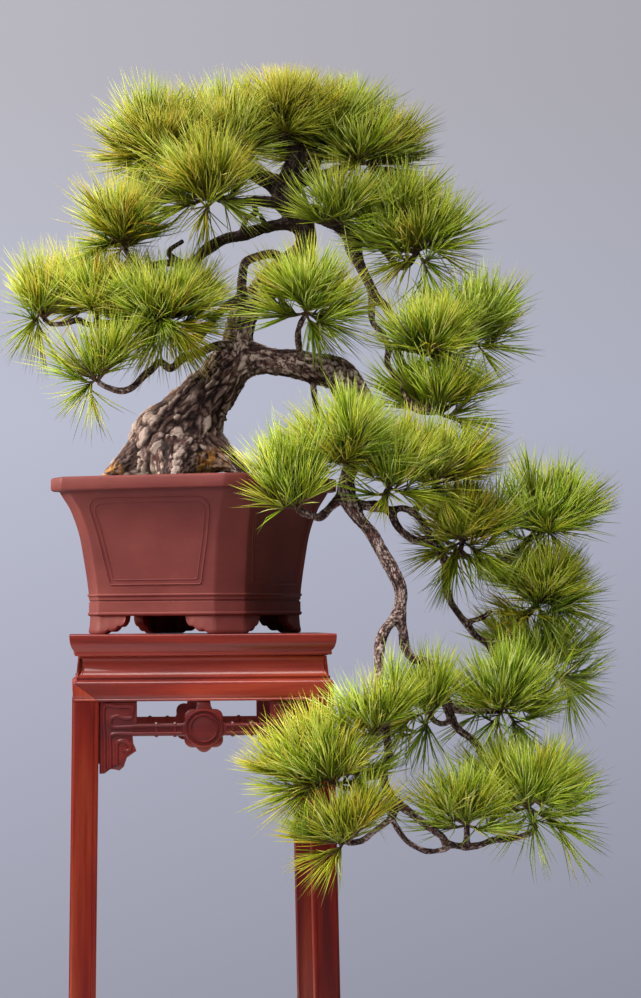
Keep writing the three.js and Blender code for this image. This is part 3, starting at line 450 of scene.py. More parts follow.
# Further shoots of the sprays, which the solids leave out: steps from the twig's tip
MORE_SHOOTS = {
    "crown_centre": [(42, -16, 14), (30, -26, -8)],
    "crown_right": [(50, 0, 42)],
    "right_edge": [(46, -6, 34), (58, 6, 12)],
    "left_crown": [(30, -8, 14)],
    "crown_front": [(-46, -8, -18), (-12, -24, -28), (24, -16, -12)],
    "right_tip": [(-22, -14, -20), (14, -18, -34)],
    "front": [(40, -8, -4), (-38, -8, -8), (8, -8, -24), (26, -6, -14)],
    "far_right": [(46, -8, -14), (34, 10, 38)],
    "mid_right": [(-30, -14, 14)],
    "right_low": [(42, -4, 30)],
    "left_mid": [(16, -18, -16), (-30, -14, -14), (14, -8, -24), (-14, -8, -22), (36, -6, -12)],
    "limb_front": [(-48, -16, 14), (30, -16, 6)],
    "middle": [(-6, -24, -14), (24, -18, -10)],
    "middle_right": [(44, -4, 14), (6, -22, -16)],
    "inner_up": [(-30, -8, -14), (-14, -14, -36), (26, -16, -20)],
    "big_right": [(-34, -12, 14), (-14, -16, -26), (60, -4, 26)],
    "right_mid": [(-30, -12, -30), (10, -20, -24)],
    "right_lower": [(44, 6, -34), (-26, -16, -18)],
    "inner_low": [(-36, -8, 18), (-22, -14, -26), (24, -14, -34)],
    "low_left": [(-36, -10, 6)],
    "low_mid": [(-34, -10, -4), (32, -12, -8)],
    "low_right": [(44, -14, -26), (6, -20, -30), (-30, -14, -6)],
    "left_hang": [(-14, -14, -26)],
    "pot_edge": [(-14, -8, 46), (12, -8, 44), (-34, -10, 30)],
    "big_left": [(-58, -10, -12), (-44, -14, 16)],
    "left_up": [(-30, -8, 22)],
}

# Short shoots that cover the root of every spray
HUB_SHOOTS = [(-9, -22, 12), (11, -20, 16), (3, 20, 14)]

# Sprays beside a gap that stays open: they get one longer shoot, and not STRAYS
OPEN = (
    "far_left", "left_low", "big_left", "low_left", "left_hang", "tail_top", "low_mid",
    "pot_edge", "front", "middle",
)

# How golden a spray is, from 0 to 1
GOLD = {
    "apex": 0.55, "upper_left": 0.5, "crown_centre": 0.42, "left_up": 0.5, "left_crown": 0.42,
    "far_left": 0.36, "left_mid": 0.3, "middle_right": 0.45, "inner_up": 0.45, "right_mid": 0.4,
    "crown_front": 0.42, "back_left": 0.4, "big_left": 0.34, "low_left": 0.6, "right_edge": 0.2,
    "crown_right": 0.22, "front": 0.25, "limb_front": 0.3, "middle": 0.25,
}
GOLD_ELSEWHERE = 0.14

# Numbers on grids


def scramble(x, y, z, seed):
    """Whole numbers to even random numbers from 0 to 1, the same in each run: the three
    are multiplied by large odd numbers, added, and their bits folded twice."""
    mixed = (x.astype(np.int64) * 374761393 + y.astype(np.int64) * 668265263
             + z.astype(np.int64) * 2147483647 + seed * 1274126177) & 0xFFFFFFFF
    mixed = ((mixed ^ (mixed >> 13)) * 1274126177) & 0xFFFFFFFF
    mixed = ((mixed ^ (mixed >> 16)) * 2246822519) & 0xFFFFFFFF
    return (mixed ^ (mixed >> 15)) / 4294967295.0


def noise(points, seed):
    """Smooth noise from -1 to 1: random numbers at whole points, blended between them."""
    base = np.floor(points)
    part = points - base
    part = part * part * (3 - 2 * part)
    total = np.zeros(points.shape[:-1])
    for corner in product((0, 1), repeat=3):
        weight = np.prod(np.where(corner, part, 1 - part), axis=-1)
        at = base + corner
        total += weight * scramble(at[..., 0], at[..., 1], at[..., 2], seed)
    return 2 * total - 1


def cells(points, seed):
    """Scattered seeds, one in each unit cube: the distances to the nearest and the second,
    a random number of the nearest, and the way from it to the point."""
    base = np.floor(points)
    nearest = np.full(points.shape[:-1], 9.0)
    second = nearest.copy()
    tone = np.zeros(points.shape[:-1])
    away = np.zeros(points.shape)
    for step in product((-1, 0, 1), repeat=3):
        at = base + step
        x, y, z = at[..., 0], at[..., 1], at[..., 2]
        spot = at + np.stack([scramble(x, y, z, seed + k) for k in range(3)], axis=-1)
        gap = points - spot
        distance = np.sqrt((gap ** 2).sum(-1))
        closer = distance < nearest
        second = np.where(closer, nearest, np.minimum(second, distance))
        tone = np.where(closer, scramble(x, y, z, seed + 3), tone)
        away = np.where(closer[..., None], gap, away)
        nearest = np.where(closer, distance, nearest)
    return nearest, second, tone, away


def rise(value, low, high):
    """0 below low and 1 above high, with a smooth step between."""
    part = np.clip((value - low) / (high - low), 0, 1)
    return part * part * (3 - 2 * part)


def unit(vectors):
    """Each vector at length 1."""
    return vectors / np.maximum(np.linalg.norm(vectors, axis=-1, keepdims=True), 1e-12)


def curve(points, step):
    """A smooth curve through points, as a Catmull-Rom spline, at even steps of length.
    Columns past the third, such as the radius, are carried along."""
    rows = np.asarray(points, float)
    rows = np.vstack([2 * rows[0] - rows[1], rows, 2 * rows[-1] - rows[-2]])
    t = np.linspace(0, 1, 16, endpoint=False)[:, None]
    parts = [
        b + 0.5 * t * (c - a) + t * t * (a - 2.5 * b + 2 * c - 0.5 * d)
        + t ** 3 * (1.5 * (b - c) + 0.5 * (d - a))
        for a, b, c, d in zip(rows, rows[1:], rows[2:], rows[3:])
    ]
    fine = np.vstack(parts + [rows[-2:-1]])
    steps = np.linalg.norm(np.diff(fine[:, :3], axis=0), axis=1)
    along = np.concatenate([[0], np.cumsum(steps)])
    count = max(4, round(along[-1] / step) + 1)
    even = np.linspace(0, along[-1], count)
    return np.column_stack([np.interp(even, along, column) for column in fine.T])


def turns(count):
    """Even angles round a circle."""
    return np.arange(count) * 2 * math.pi / count


def square_to(way):
    """Two directions square to a way and to each other."""
    first = unit(np.cross(way, [0.3, 0.5, 0.8]))
    return first, unit(np.cross(way, first))


def carried(path):
    """Two directions square to a path at each point, carried along it without a twist."""
    along = unit(np.gradient(path[:, :3], axis=0))
    across = np.zeros_like(along)
    start = np.array([0.0, 1.0, 0.0])
    for i, way in enumerate(along):
        start = start - way * (start @ way)
        start /= np.linalg.norm(start)
        across[i] = start
    return across, np.cross(along, across)


def spokes(across, side, angle):
    """The directions at angles round each point of a path, from across toward side."""
    return across[:, None] * np.cos(angle)[:, None] + side[:, None] * np.sin(angle)[:, None]


# Surfaces: points in millimetres, faces of four and of three corners, and data by point


class Surface:
    def __init__(self, points, quads=(), triangles=(), **data):
        self.points = np.asarray(points, float).reshape(-1, 3)
        self.quads = np.asarray(quads, int).reshape(-1, 4)
        self.triangles = np.asarray(triangles, int).reshape(-1, 3)
        self.data = {name: np.asarray(values, float) for name, values in data.items()}

    def volume(self):
        """Six times the enclosed volume, which is below 0 where the faces point inward."""
        fans = np.vstack([self.quads[:, :3], self.quads[:, [0, 2, 3]], self.triangles])
        a, b, c = (self.points[fans[:, k]] for k in range(3))
        return np.einsum("ij,ij->", a, np.cross(b, c))

    def outward(self):
        """The same surface with its faces pointing out."""
        if self.volume() < 0:
            self.quads = self.quads[:, ::-1]
            self.triangles = self.triangles[:, ::-1]
        return self

    def turned(self, angle, place=(0, 0, 0)):
        """A copy, turned about Z and moved to a place."""
        c, s = math.cos(angle), math.sin(angle)
        turn = np.array([[c, s, 0], [-s, c, 0], [0, 0, 1]])
        points = self.points @ turn + np.asarray(place, float)
        return Surface(points, self.quads, self.triangles, **self.data)

    def with_data(self, **data):
        """The same surface with more data, a value for each point."""
        self.data.update({name: np.asarray(values, float) for name, values in data.items()})
        return self


def joined(surfaces):
    """Several surfaces as one. Data that a surface lacks is 0 there."""
    names = {name: values.shape[1:] for s in surfaces for name, values in s.data.items()}
    starts = np.cumsum([0] + [len(s.points) for s in surfaces[:-1]])
    data = {
        name: np.concatenate([
            s.data.get(name, np.zeros((len(s.points),) + shape)) for s in surfaces
        ])
        for name, shape in names.items()
    }
    return Surface(
        np.concatenate([s.points for s in surfaces]),
        np.concatenate([s.quads + start for s, start in zip(surfaces, starts)]),
        np.concatenate([s.triangles + start for s, start in zip(surfaces, starts)]),
        **data,
    )


def ring_quads(index):
    """Faces of four between rings of point numbers, each ring closed on itself."""
    right = np.roll(index, -1, axis=1)
    return np.stack([index[:-1], right[:-1], right[1:], index[1:]], axis=-1).reshape(-1, 4)


def closed_grid(points, ends=True):
    """Rings of points as a tube of quads, each ring closed on itself. With ends, a fan to
    the middle of the first and of the last ring closes the tube; without, the last ring
    meets the first."""
    rows, columns = points.shape[:2]
    index = np.arange(rows * columns).reshape(rows, columns)
    flat = points.reshape(-1, 3)
    if not ends:
        return Surface(flat, ring_quads(np.vstack([index, index[:1]])))
    first, last = len(flat), len(flat) + 1
    flat = np.vstack([flat, points[0].mean(0), points[-1].mean(0)])
    fans = [
        np.stack([np.roll(index[0], -1), index[0], np.full(columns, first)], axis=-1),
        np.stack([index[-1], np.roll(index[-1], -1), np.full(columns, last)], axis=-1),
    ]
    return Surface(flat, ring_quads(index), np.vstack(fans))


def grid_data(values):
    """Data on a grid's points, with the means of the end rings for the middles of its fans."""
    return np.concatenate([values.ravel(), values[:1].mean(1), values[-1:].mean(1)])


def plate(outline, back, front, bevel):
    """A board in the plane of X and Z from an outline: a rounded edge at its front, set in
    by bevel in three steps, and flat faces filled with triangles."""
    outline = np.asarray(outline, float)
    edge = unit(np.roll(outline, -1, axis=0) - np.roll(outline, 1, axis=0))
    inward = np.stack([-edge[:, 1], edge[:, 0]], axis=1)
    around = np.roll(outline, -1, axis=0)
    area = (outline[:, 0] * around[:, 1] - around[:, 0] * outline[:, 1]).sum()
    inward *= math.copysign(1, area)
    levels = [(0, back), (0, front + bevel), (0.3 * bevel, front + 0.3 * bevel), (bevel, front)]
    rings = []
    for inset, y in levels:
        flat = outline + inward * inset
        rings.append(np.column_stack([flat[:, 0], np.full(len(flat), y), flat[:, 1]]))
    count = len(outline)
    index = np.arange(len(levels) * count).reshape(len(levels), count)
    fill = np.array(tessellate_polygon([[Vector((x, z, 0)) for x, z in outline]]))
    last = index[-1, 0]
    if np.sign(face_area(outline, fill)) == np.sign(area):
        fill = fill[:, ::-1]
    triangles = np.vstack([fill, fill[:, ::-1] + last])
    return Surface(np.vstack(rings), ring_quads(index), triangles).outward()


def face_area(outline, triangles):
    """Twice the summed area of flat triangles, above 0 where they run anticlockwise."""
    a, b, c = (outline[triangles[:, k]] for k in range(3))
    return ((b - a)[:, 0] * (c - a)[:, 1] - (b - a)[:, 1] * (c - a)[:, 0]).sum()


def thread(path, width, height, loop=False):
    """A raised half-round line on a face to the front: a low arch carried along a path."""
    if loop:
        along = unit(np.roll(path, -1, axis=0) - np.roll(path, 1, axis=0))
    else:
        along = unit(np.gradient(path, axis=0))
    side = unit(np.cross(along, FRONT))
    arch = np.linspace(0, math.pi, 6)
    offsets = [(math.cos(a) * width / 2, math.sin(a) * height) for a in arch]
    offsets += [(-width / 2, -0.6), (width / 2, -0.6)]
    rings = np.stack([path + side * a + FRONT * b for a, b in offsets], axis=1)
    return closed_grid(rings, ends=not loop).outward()


def piece(name, surface, materials, nodes=(), smooth=40, pick=None):
    """A visible piece from a surface in millimetres from the stand's top centre. It rides
    on the only body and stands for the CAD nodes that are named."""
    points = (surface.points * MM + TOP).astype(np.float32)
    loops = np.concatenate([surface.quads.ravel(), surface.triangles.ravel()])
    fours, threes = len(surface.quads), len(surface.triangles)
    starts = np.concatenate([4 * np.arange(fours), 4 * fours + 3 * np.arange(threes)])
    mesh = bpy.data.meshes.new(name)
    mesh.vertices.add(len(points))
    mesh.vertices.foreach_set("co", points.ravel())
    mesh.loops.add(len(loops))
    mesh.loops.foreach_set("vertex_index", loops.astype(np.int32))
    mesh.polygons.add(len(starts))
    mesh.polygons.foreach_set("loop_start", starts.astype(np.int32))
    for material in materials:
        mesh.materials.append(material)
    if pick is not None:
        mesh.polygons.foreach_set("material_index", pick.astype(np.int32))
    mesh.update(calc_edges=True)
    mesh.validate()
    for key, values in surface.data.items():
        kind, field = ("FLOAT", "value") if values.ndim == 1 else ("FLOAT_VECTOR", "vector")
        layer = mesh.attributes.new(key, kind, "POINT")
        layer.data.foreach_set(field, values.astype(np.float32).ravel())
    mesh.shade_smooth()
    if smooth < 180:
        mesh.set_sharp_from_angle(angle=math.radians(smooth))
    made = bpy.data.objects.new(name, mesh)
    bpy.context.scene.collection.objects.link(made)
    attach(made, "root")
    if nodes:
        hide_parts(*nodes)
    return made


# Materials


class Wire:
    """A socket in a material. Arithmetic on wires adds Math nodes."""

    def __init__(self, finish, socket):
        self.finish = finish
        self.socket = socket

    def math(self, operation, *others):
        """An operation on this wire and others."""
        values = {0: self, **{k + 1: other for k, other in enumerate(others)}}
        return self.finish.node("ShaderNodeMath", {"operation": operation}, values)

    def __add__(self, other):
        return self.math("ADD", other)

    __radd__ = __add__

    def __mul__(self, other):
        return self.math("MULTIPLY", other)

    __rmul__ = __mul__

    def __sub__(self, other):
        return self.math("SUBTRACT", other)

    def __rsub__(self, other):
        settings = {"operation": "SUBTRACT"}
        return self.finish.node("ShaderNodeMath", settings, {0: other, 1: self})

    def step(self, low, high):
        """0 below low and 1 above high, smooth between."""
        values = {"Value": self, "From Min": low, "From Max": high}
        return self.finish.node("ShaderNodeMapRange", {"interpolation_type": "SMOOTHSTEP"}, values)


def set_stops(ramp, stops):
    """Gives a colour ramp its stops: places from 0 to 1, each with a colour."""
    while len(ramp.elements) < len(stops):
        ramp.elements.new(0.5)
    for element, (at, colour) in zip(ramp.elements, stops):
        element.position = at
        element.color = (*colour, 1)


class Finish:
    """A material with one Principled shader. Constants are set on the shader itself."""

    def __init__(self, name, **constants):
        self.material = bpy.data.materials.new(name)
        self.material.use_nodes = True
        self.nodes = self.material.node_tree.nodes
        self.links = self.material.node_tree.links
        self.shader = self.nodes["Principled BSDF"]
        for key, value in constants.items():
            self.shader.inputs[key.replace("_", " ")].default_value = value

    def node(self, kind, settings, values, out=0):
        """A new node: its settings, then the values or wires of its sockets. Its output."""
        made = self.nodes.new(kind)
        for key, value in settings.items():
            if key == "stops":
                set_stops(made.color_ramp, value)
            else:
                setattr(made, key, value)
        for key, value in values.items():
            self.put(made.inputs[key], value)
        return Wire(self, made.outputs[out])

    def put(self, socket, value):
        """Gives a socket a wire or a plain value."""
        if isinstance(value, Wire):
            self.links.new(value.socket, socket)
        elif isinstance(value, tuple) and len(value) == 3 and socket.type == "RGBA":
            socket.default_value = (*value, 1)
        else:
            socket.default_value = value

    def feed(self, **wires):
        """Gives the shader's sockets their wires."""
        for key, wire in wires.items():
            self.put(self.shader.inputs[key.replace("_", " ")], wire)

    def attribute(self, name, out="Fac"):
        """The mesh's own data of a name."""
        return self.node("ShaderNodeAttribute", {"attribute_name": name}, {}, out)

    def place(self):
        """Object coordinates, in metres."""
        return self.node("ShaderNodeTexCoord", {}, {}, "Object")

    def above(self, low, high):
        """0 below a height and 1 above another, both in metres above the stand's top."""
        height = self.node("ShaderNodeSeparateXYZ", {}, {0: self.place()}, "Z")
        return height.step(TOP[2] + low, TOP[2] + high)

    def stretched(self, vector, scale):
        """Places scaled by an amount of its own along each axis."""
        return self.node("ShaderNodeMapping", {}, {"Vector": vector, "Scale": scale})

    def clouds(self, vector, scale, detail=3, rough=0.55, warp=0.0):
        """Soft random clouds round 0.5."""
        values = {"Vector": vector, "Scale": scale, "Detail": detail, "Roughness": rough,
                  "Distortion": warp}
        return self.node("ShaderNodeTexNoise", {}, values, "Fac")

    def blend(self, factor, first, second):
        """The first colour where factor is 0 and the second where it is 1."""
        return self.node("ShaderNodeMix", {"data_type": "RGBA"}, {0: factor, 6: first, 7: second}, 2)

    def ramp(self, factor, stops):
        """The colour at a factor between stops."""
        return self.node("ShaderNodeValToRGB", {"stops": stops}, {"Fac": factor}, "Color")

    def bump(self, height, strength, distance):
        """Normals that show a height as fine relief."""
        values = {"Height": height, "Strength": strength, "Distance": distance}
        return self.node("ShaderNodeBump", {}, values, "Normal")


def bark_finish():
    """Scaly bark: pale pinkish grey on the scales' raised edges, through brown, to dark
    crevices, partly its own colour and partly painted highlight and painted shade, with
    darker patches; painted shade darkens it toward the top of the tree, under the crown,
    with orange lichen at two places by the pot's rim."""
    finish = Finish("bark", Roughness=0.9, Specular_IOR_Level=0.25)
    place = finish.place()
    lift = finish.attribute("plate")
    tone = finish.attribute("tone")
    grain = finish.clouds(place, 420, 4, 0.6)
    patches = finish.clouds(place, 42, 3, 0.6, 0.4)
    # The scales' paleness (plate) makes raised edges pale and crevices dark: partly the bark's own
    # colour, partly painted highlight and painted shade
    shade = lift + tone * 0.16 + grain * 0.34 + patches * 0.62 - 0.58
    colour = finish.ramp(shade, [
        (0.06, (0.010, 0.005, 0.005)), (0.28, (0.055, 0.027, 0.024)),
        (0.50, (0.170, 0.108, 0.092)), (0.74, (0.47, 0.36, 0.315)),
    ])
    rust = finish.clouds(place, 75, 2).step(0.60, 0.70)
    colour = finish.blend(rust * 0.5, colour, (0.100, 0.024, 0.020))
    # Painted shade: the bark darkens toward the top of the tree, under the crown
    colour = finish.blend(finish.above(*CROWN_BARK_SHADE) * 0.8, colour, (0.018, 0.009, 0.009))
    for spot, reach in LICHEN:
        gap = finish.node("ShaderNodeVectorMath", {"operation": "DISTANCE"},
                          {0: place, 1: tuple(np.array(spot) * MM + TOP)}, "Value")
        near = 1 - gap.step(0.3 * reach * MM, reach * MM)
        mask = near * finish.clouds(place, 130, 3).step(0.42, 0.56)
        lichen = finish.ramp(finish.clouds(place, 300, 2), [
            (0.3, (0.35, 0.12, 0.03)), (0.55, (0.70, 0.30, 0.06)), (0.75, (0.50, 0.38, 0.12)),
        ])
        colour = finish.blend(mask * 0.85, colour, lichen)
    relief = grain * 0.5 + finish.clouds(place, 1100, 3) * 0.3
    finish.feed(Base_Color=colour, Normal=finish.bump(relief, 0.5, 0.0012),
                Roughness=finish.clouds(place, 90, 2).step(0.3, 0.7) * 0.12 + 0.82)
    return finish.material


def needle_finish():
    """Yellow-green needles, darker at their roots, with paler tips, which are yellow and
    orange on golden sprays. Painted shade turns them darker olive toward the crown."""
    finish = Finish("needles", Roughness=0.5, Specular_IOR_Level=0.15)
    along = finish.attribute("along")
    tone = finish.attribute("tone")
    gold = finish.attribute("gold")
    green = finish.ramp(tone, [
        (0.0, (0.13, 0.25, 0.012)), (0.35, (0.30, 0.43, 0.018)),
        (0.7, (0.46, 0.57, 0.040)), (1.0, (0.64, 0.72, 0.26)),
    ])
    yellow = finish.ramp(tone, [
        (0.0, (0.23, 0.24, 0.008)), (0.4, (0.43, 0.38, 0.014)),
        (0.75, (0.60, 0.46, 0.024)), (1.0, (0.72, 0.40, 0.04)),
    ])
    colour = finish.blend(gold, green, yellow)
    # Painted shade: the needles turn darker olive toward the crown
    colour = finish.blend(finish.above(*CROWN_NEEDLE_SHADE) * 0.42, colour, (0.150, 0.125, 0.008))
    colour = finish.blend(along.step(-0.24, 0.20), (0.14, 0.120, 0.014), colour)
    tip = finish.blend(gold, (0.54, 0.60, 0.18), (0.68, 0.42, 0.05))
    colour = finish.blend(along.step(0.72, 1.1) * 0.5, colour, tip)
    streak = finish.clouds(finish.place(), 900, 2)
    finish.feed(Base_Color=finish.blend(streak * 0.2, colour, (0.12, 0.18, 0.010)),
                Roughness=streak * 0.2 + 0.45)
    return finish.material


def shoot_finish():
    """Young wood under the needles: rough, and ochre brown in fine clouds."""
    finish = Finish("shoots", Roughness=0.8)
    place = finish.place()
    grain = finish.clouds(place, 500, 3)
    colour = finish.ramp(grain, [
        (0.3, (0.045, 0.024, 0.012)), (0.55, (0.13, 0.070, 0.030)), (0.8, (0.22, 0.13, 0.06)),
    ])
    finish.feed(Base_Color=colour, Normal=finish.bump(grain, 0.6, 0.001),
                Roughness=grain * 0.2 + 0.7)
    return finish.material


def clay_finish():
    """Unglazed purple clay: fine grain, faint clouds, pale specks and brushed streaks."""
    finish = Finish("clay", Roughness=0.6, Specular_IOR_Level=0.22)
    place = finish.place()
    clouds = finish.clouds(place, 9, 4, 0.55, 0.3)
    grain = finish.clouds(place, 1400, 2, 0.6)
    specks = finish.node("ShaderNodeTexVoronoi", {}, {"Vector": place, "Scale": 420.0}, "Distance")
    colour = finish.ramp(clouds, [
        (0.3, (0.125, 0.024, 0.022)), (0.5, (0.165, 0.033, 0.029)), (0.72, (0.210, 0.047, 0.038)),
    ])
    colour = finish.blend((1 - specks.step(0.08, 0.20)) * grain.step(0.5, 0.6) * 0.5, colour,
                          (0.30, 0.12, 0.08))
    brushed = finish.clouds(finish.stretched(place, (30, 30, 260)), 1.0, 3)
    finish.feed(Base_Color=finish.blend(brushed * 0.3, colour, (0.085, 0.018, 0.017)),
                Roughness=clouds.step(0.3, 0.8) * 0.15 + 0.52,
                Normal=finish.bump(grain * 0.5 + brushed * 0.7, 0.25, 0.0006))
    return finish.material


def soil_finish():
    """Dark grit with lighter grains, and moss in patches."""
    finish = Finish("soil", Roughness=0.95)
    place = finish.place()
    tone = finish.attribute("tone")
    moss = finish.attribute("moss")
    grain = finish.clouds(place, 700, 3)
    grit = finish.ramp(tone * 0.7 + grain * 0.3, [
        (0.2, (0.016, 0.010, 0.007)), (0.5, (0.055, 0.033, 0.022)),
        (0.75, (0.13, 0.085, 0.055)), (0.95, (0.26, 0.19, 0.13)),
    ])
    cushion = finish.ramp(grain, [
        (0.3, (0.035, 0.055, 0.008)), (0.55, (0.11, 0.15, 0.02)), (0.8, (0.30, 0.28, 0.05)),
    ])
    finish.feed(Base_Color=finish.blend(moss, grit, cushion),
                Normal=finish.bump(grain, 0.7, 0.002),
                Roughness=grain * 0.1 + 0.85)
    return finish.material


def rosewood_finish(name, depth, toward):
    """Red lacquered wood with broad dark and bright stripes. The data called grain holds
    places with X along the fibres. Depth is how far its colours go toward another one."""
    finish = Finish(name, Coat_Weight=0.45, Coat_Roughness=0.16, Coat_IOR=1.5,
                    Specular_IOR_Level=0.2)
    grain = finish.attribute("grain", "Vector")
    figure = finish.clouds(finish.stretched(grain, (2.2, 24, 24)), 1.0, 3, 0.5, 0.9)
    fibres = finish.clouds(finish.stretched(grain, (7, 230, 230)), 1.0, 4, 0.6, 0.4)
    pores = finish.clouds(finish.stretched(grain, (40, 900, 900)), 1.0, 2, 0.5)
    shade = figure * 0.8 + fibres * 0.2
    colour = finish.ramp(shade, [
        (0.34, (0.095, 0.006, 0.005)), (0.44, (0.180, 0.011, 0.006)),
        (0.53, (0.275, 0.021, 0.008)), (0.66, (0.410, 0.058, 0.018)),
    ])
    colour = finish.blend(pores.step(0.60, 0.72) * 0.4, colour, (0.050, 0.004, 0.004))
    colour = finish.blend(depth, colour, toward)
    finish.feed(Base_Color=colour, Roughness=fibres * 0.2 + 0.28,
                Normal=finish.bump(fibres * 0.6 + pores * 0.4, 0.06, 0.0005))
    return finish.material


# Tree


def bark_relief(flat, seed):
    """The height of bark at places on an unrolled limb, how pale it shows there, and a
    random number for each flake. Scales are the cells of scattered seeds. Each has its own
    height, leans its own way and is split into flakes, with crevices between, and long
    furrows run under them. The paleness follows the relief, pale where raised and dark in
    crevices: partly the bark's own colour, partly painted highlight and painted shade."""
    warped = flat + 0.42 * np.stack([noise(flat * 1.3, seed + k) for k in (5, 6, 7)], axis=-1)
    nearest, second, tone, away = cells(warped, seed)
    slope = (away * (np.array([0.9, -0.7, 0.9]) * (2 * tone[..., None] - 1))).sum(-1)
    near_flake, next_flake, flake_tone, _ = cells(warped * np.array([2.3, 2.3, 1.7]), seed + 11)
    flakes = rise(next_flake - near_flake, 0.0, 0.30)
    plates = rise(second - nearest, 0.0, 0.26)
    furrow = noise(flat * np.array([0.9, 0.9, 0.22]), seed + 51)
    fine = noise(warped * 6, seed + 21)
    height = plates * (0.45 + 0.55 * tone + 0.75 * slope) + 0.30 * flakes * (0.4 + flake_tone)
    height += 0.55 * furrow + 0.12 * fine
    shown = 0.55 * plates * (0.35 + 0.65 * tone) + 0.25 * flakes * flake_tone + 0.22 * slope
    shown = np.clip(0.12 + shown + 0.28 * furrow + 0.10 * fine, 0, 1)
    return height, shown, flake_tone


def limb_surface(route, step, sides, seed, others):
    """A limb: rings square to its route, each point pushed out by the bark's relief.

    The limb wanders a little from its route, and its thickness varies in knots and low
    swellings. The relief is worked out from the point's place on the unrolled limb, where
    scales are longer along the limb than across. The ends are rounded, and beside another
    limb the wood swells into a collar."""
    path = curve(route, step)
    across, side = carried(path)
    rows = len(path)
    radius = path[:, 3]
    run = np.linalg.norm(np.diff(path[:, :3], axis=0), axis=1)
    travel = np.concatenate([[0], np.cumsum(run / (radius[1:] + 2))])
    away_from_ends = np.minimum(1, np.minimum(travel, travel[-1] - travel))
    beat = np.column_stack([travel * 0.22, np.full(rows, seed * 3.1), np.zeros(rows)])
    sway = [WANDER * radius * away_from_ends * noise(beat, seed + k) for k in (41, 42)]
    centre = path[:, :3] + across * sway[0][:, None] + side * sway[1][:, None]
    knots = 1 + KNOTS * away_from_ends * noise(beat * 2.1, seed + 43)
    angle = turns(sides)
    out = spokes(across, side, angle)
    depth = np.clip(BARK_DEPTH * radius, 0.45, BARK_DEEP)
    width = np.clip(BARK_WIDTH * radius, 2.2, BARK_PLATE)
    unrolled = np.concatenate([[0], np.cumsum(run / (BARK_LONG * (width[1:] + width[:-1]) / 2))])
    ratio = (radius / width)[:, None]
    flat = np.stack([
        ratio * np.cos(angle),
        ratio * np.sin(angle),
        np.repeat(unrolled[:, None], sides, axis=1),
    ], axis=-1) + seed * 7.3
    height, shown, tone = bark_relief(flat, seed)
    bulges = 0.06 * noise(flat * np.array([0.35, 0.35, 0.25]), seed + 31)
    thick = (radius * knots)[:, None] * (1 + bulges) + depth[:, None] * (height - 0.8)
    ends = np.minimum(np.arange(rows), np.arange(rows)[::-1])[:, None]
    thick = thick * np.sqrt(np.clip((ends + 0.6) * step / (0.5 * radius[:, None]), 0.05, 1))
    points = centre[:, None] + out * thick[..., None]
    if len(others):
        swell = collar(points.reshape(-1, 3), np.repeat(radius, sides), others)
        points = points + out * swell.reshape(rows, sides, 1)
    # plate carries the bark's paleness, partly painted highlight and painted shade
    return closed_grid(points).with_data(plate=grid_data(shown), tone=grid_data(tone))


def capsules(routes):
    """The straight stretches of routes: start, end, radius at each, and the route's number."""
    rows = []
    for number, route in enumerate(routes):
        route = np.asarray(route, float)
        for a, b in zip(route, route[1:]):
            rows.append(np.concatenate([a[:3], b[:3], [a[3], b[3], number]]))
    return np.array(rows)


def collar(points, radius, others):
    """How far points are pushed out beside other limbs: a quarter of the reach, times the
    square of how near the other limb's surface is, as a share of the reach. The reach is
    1.3 radii of the thinner limb."""
    push = np.zeros(len(points))
    low, high = points.min(0) - 30, points.max(0) + 30
    for row in others:
        a, b = row[:3], row[3:6]
        if (np.maximum(a, b) < low).any() or (np.minimum(a, b) > high).any():
            continue
        way = b - a
        part = np.clip((points - a) @ way / (way @ way), 0, 1)
        gap = np.linalg.norm(points - a - part[:, None] * way, axis=1)
        other = row[6] + part * (row[7] - row[6])
        reach = 1.3 * np.minimum(radius, other)
        near = np.clip(1 - np.maximum(gap - other, 0) / reach, 0, 1)
        push = np.maximum(push, reach / 4 * near * near)
    return push


def tree():
    """The trunk, its roots and all its branches, in five pieces by thickness. Each kind has
    a step along its limbs and a number of points round them."""
    thick = [CASCADE, CROWN_RIGHT, UPPER_LEFT, CROWN_LEFT]
    thin = [TAIL, TAIL_RIGHT, RING, RING_TOP, LOWER_LEFT, LEFT_DIAGONAL, *BARE]
    twigs = [route for route, _ in SPRAYS.values()]
    kinds = [
        ("trunk", [TRUNK], 1.8, 168),
        ("roots", ROOTS, 2.0, 84),
        ("limbs", thick, 1.5, 66),
        ("branches", thin, 1.6, 22),
        ("twigs", twigs, 1.9, 12),
    ]
    routes = [route for _, some, _, _ in kinds for route in some]
    stretches = capsules(routes)
    number = 0
    bark = bark_finish()
    for name, some, step, sides in kinds:
        surfaces = []
        for route in some:
            others = stretches[stretches[:, 8] != number]
            surfaces.append(limb_surface(route, step, sides, number + 1, others))
            number += 1
        piece(f"tree_{name}", joined(surfaces), [bark], ["tree"], smooth=180)


# Foliage


def shoots_of(name):
    """The main shoots of a spray, by the rule of the part's source: the one most in line
    with the twig stands on its tip, and the others leave it in turn. Short shoots that
    cover the root and the spray's further shoots follow, all from the same root."""
    route, arms = SPRAYS[name]
    tip, before = np.array(route[-1][:3], float), np.array(route[-2][:3], float)
    along = unit(tip - before)
    steps = [np.array(arm, float) for arm in arms]
    steps.sort(key=lambda step: -(unit(step) @ along))
    lean = math.acos(np.clip(unit(steps[0]) @ along, -1, 1))
    root = tip + along * (GAP + 0.9 * SHOOT_ROOM * math.sin(lean))
    leader = unit(steps[0])
    shoots = [(root + leader * (k * SHOOT_APART), root + step) for k, step in enumerate(steps)]
    further = HUB_SHOOTS + list(MORE_SHOOTS.get(name, ()))
    return shoots + [(root, root + np.array(step, float)) for step in further]


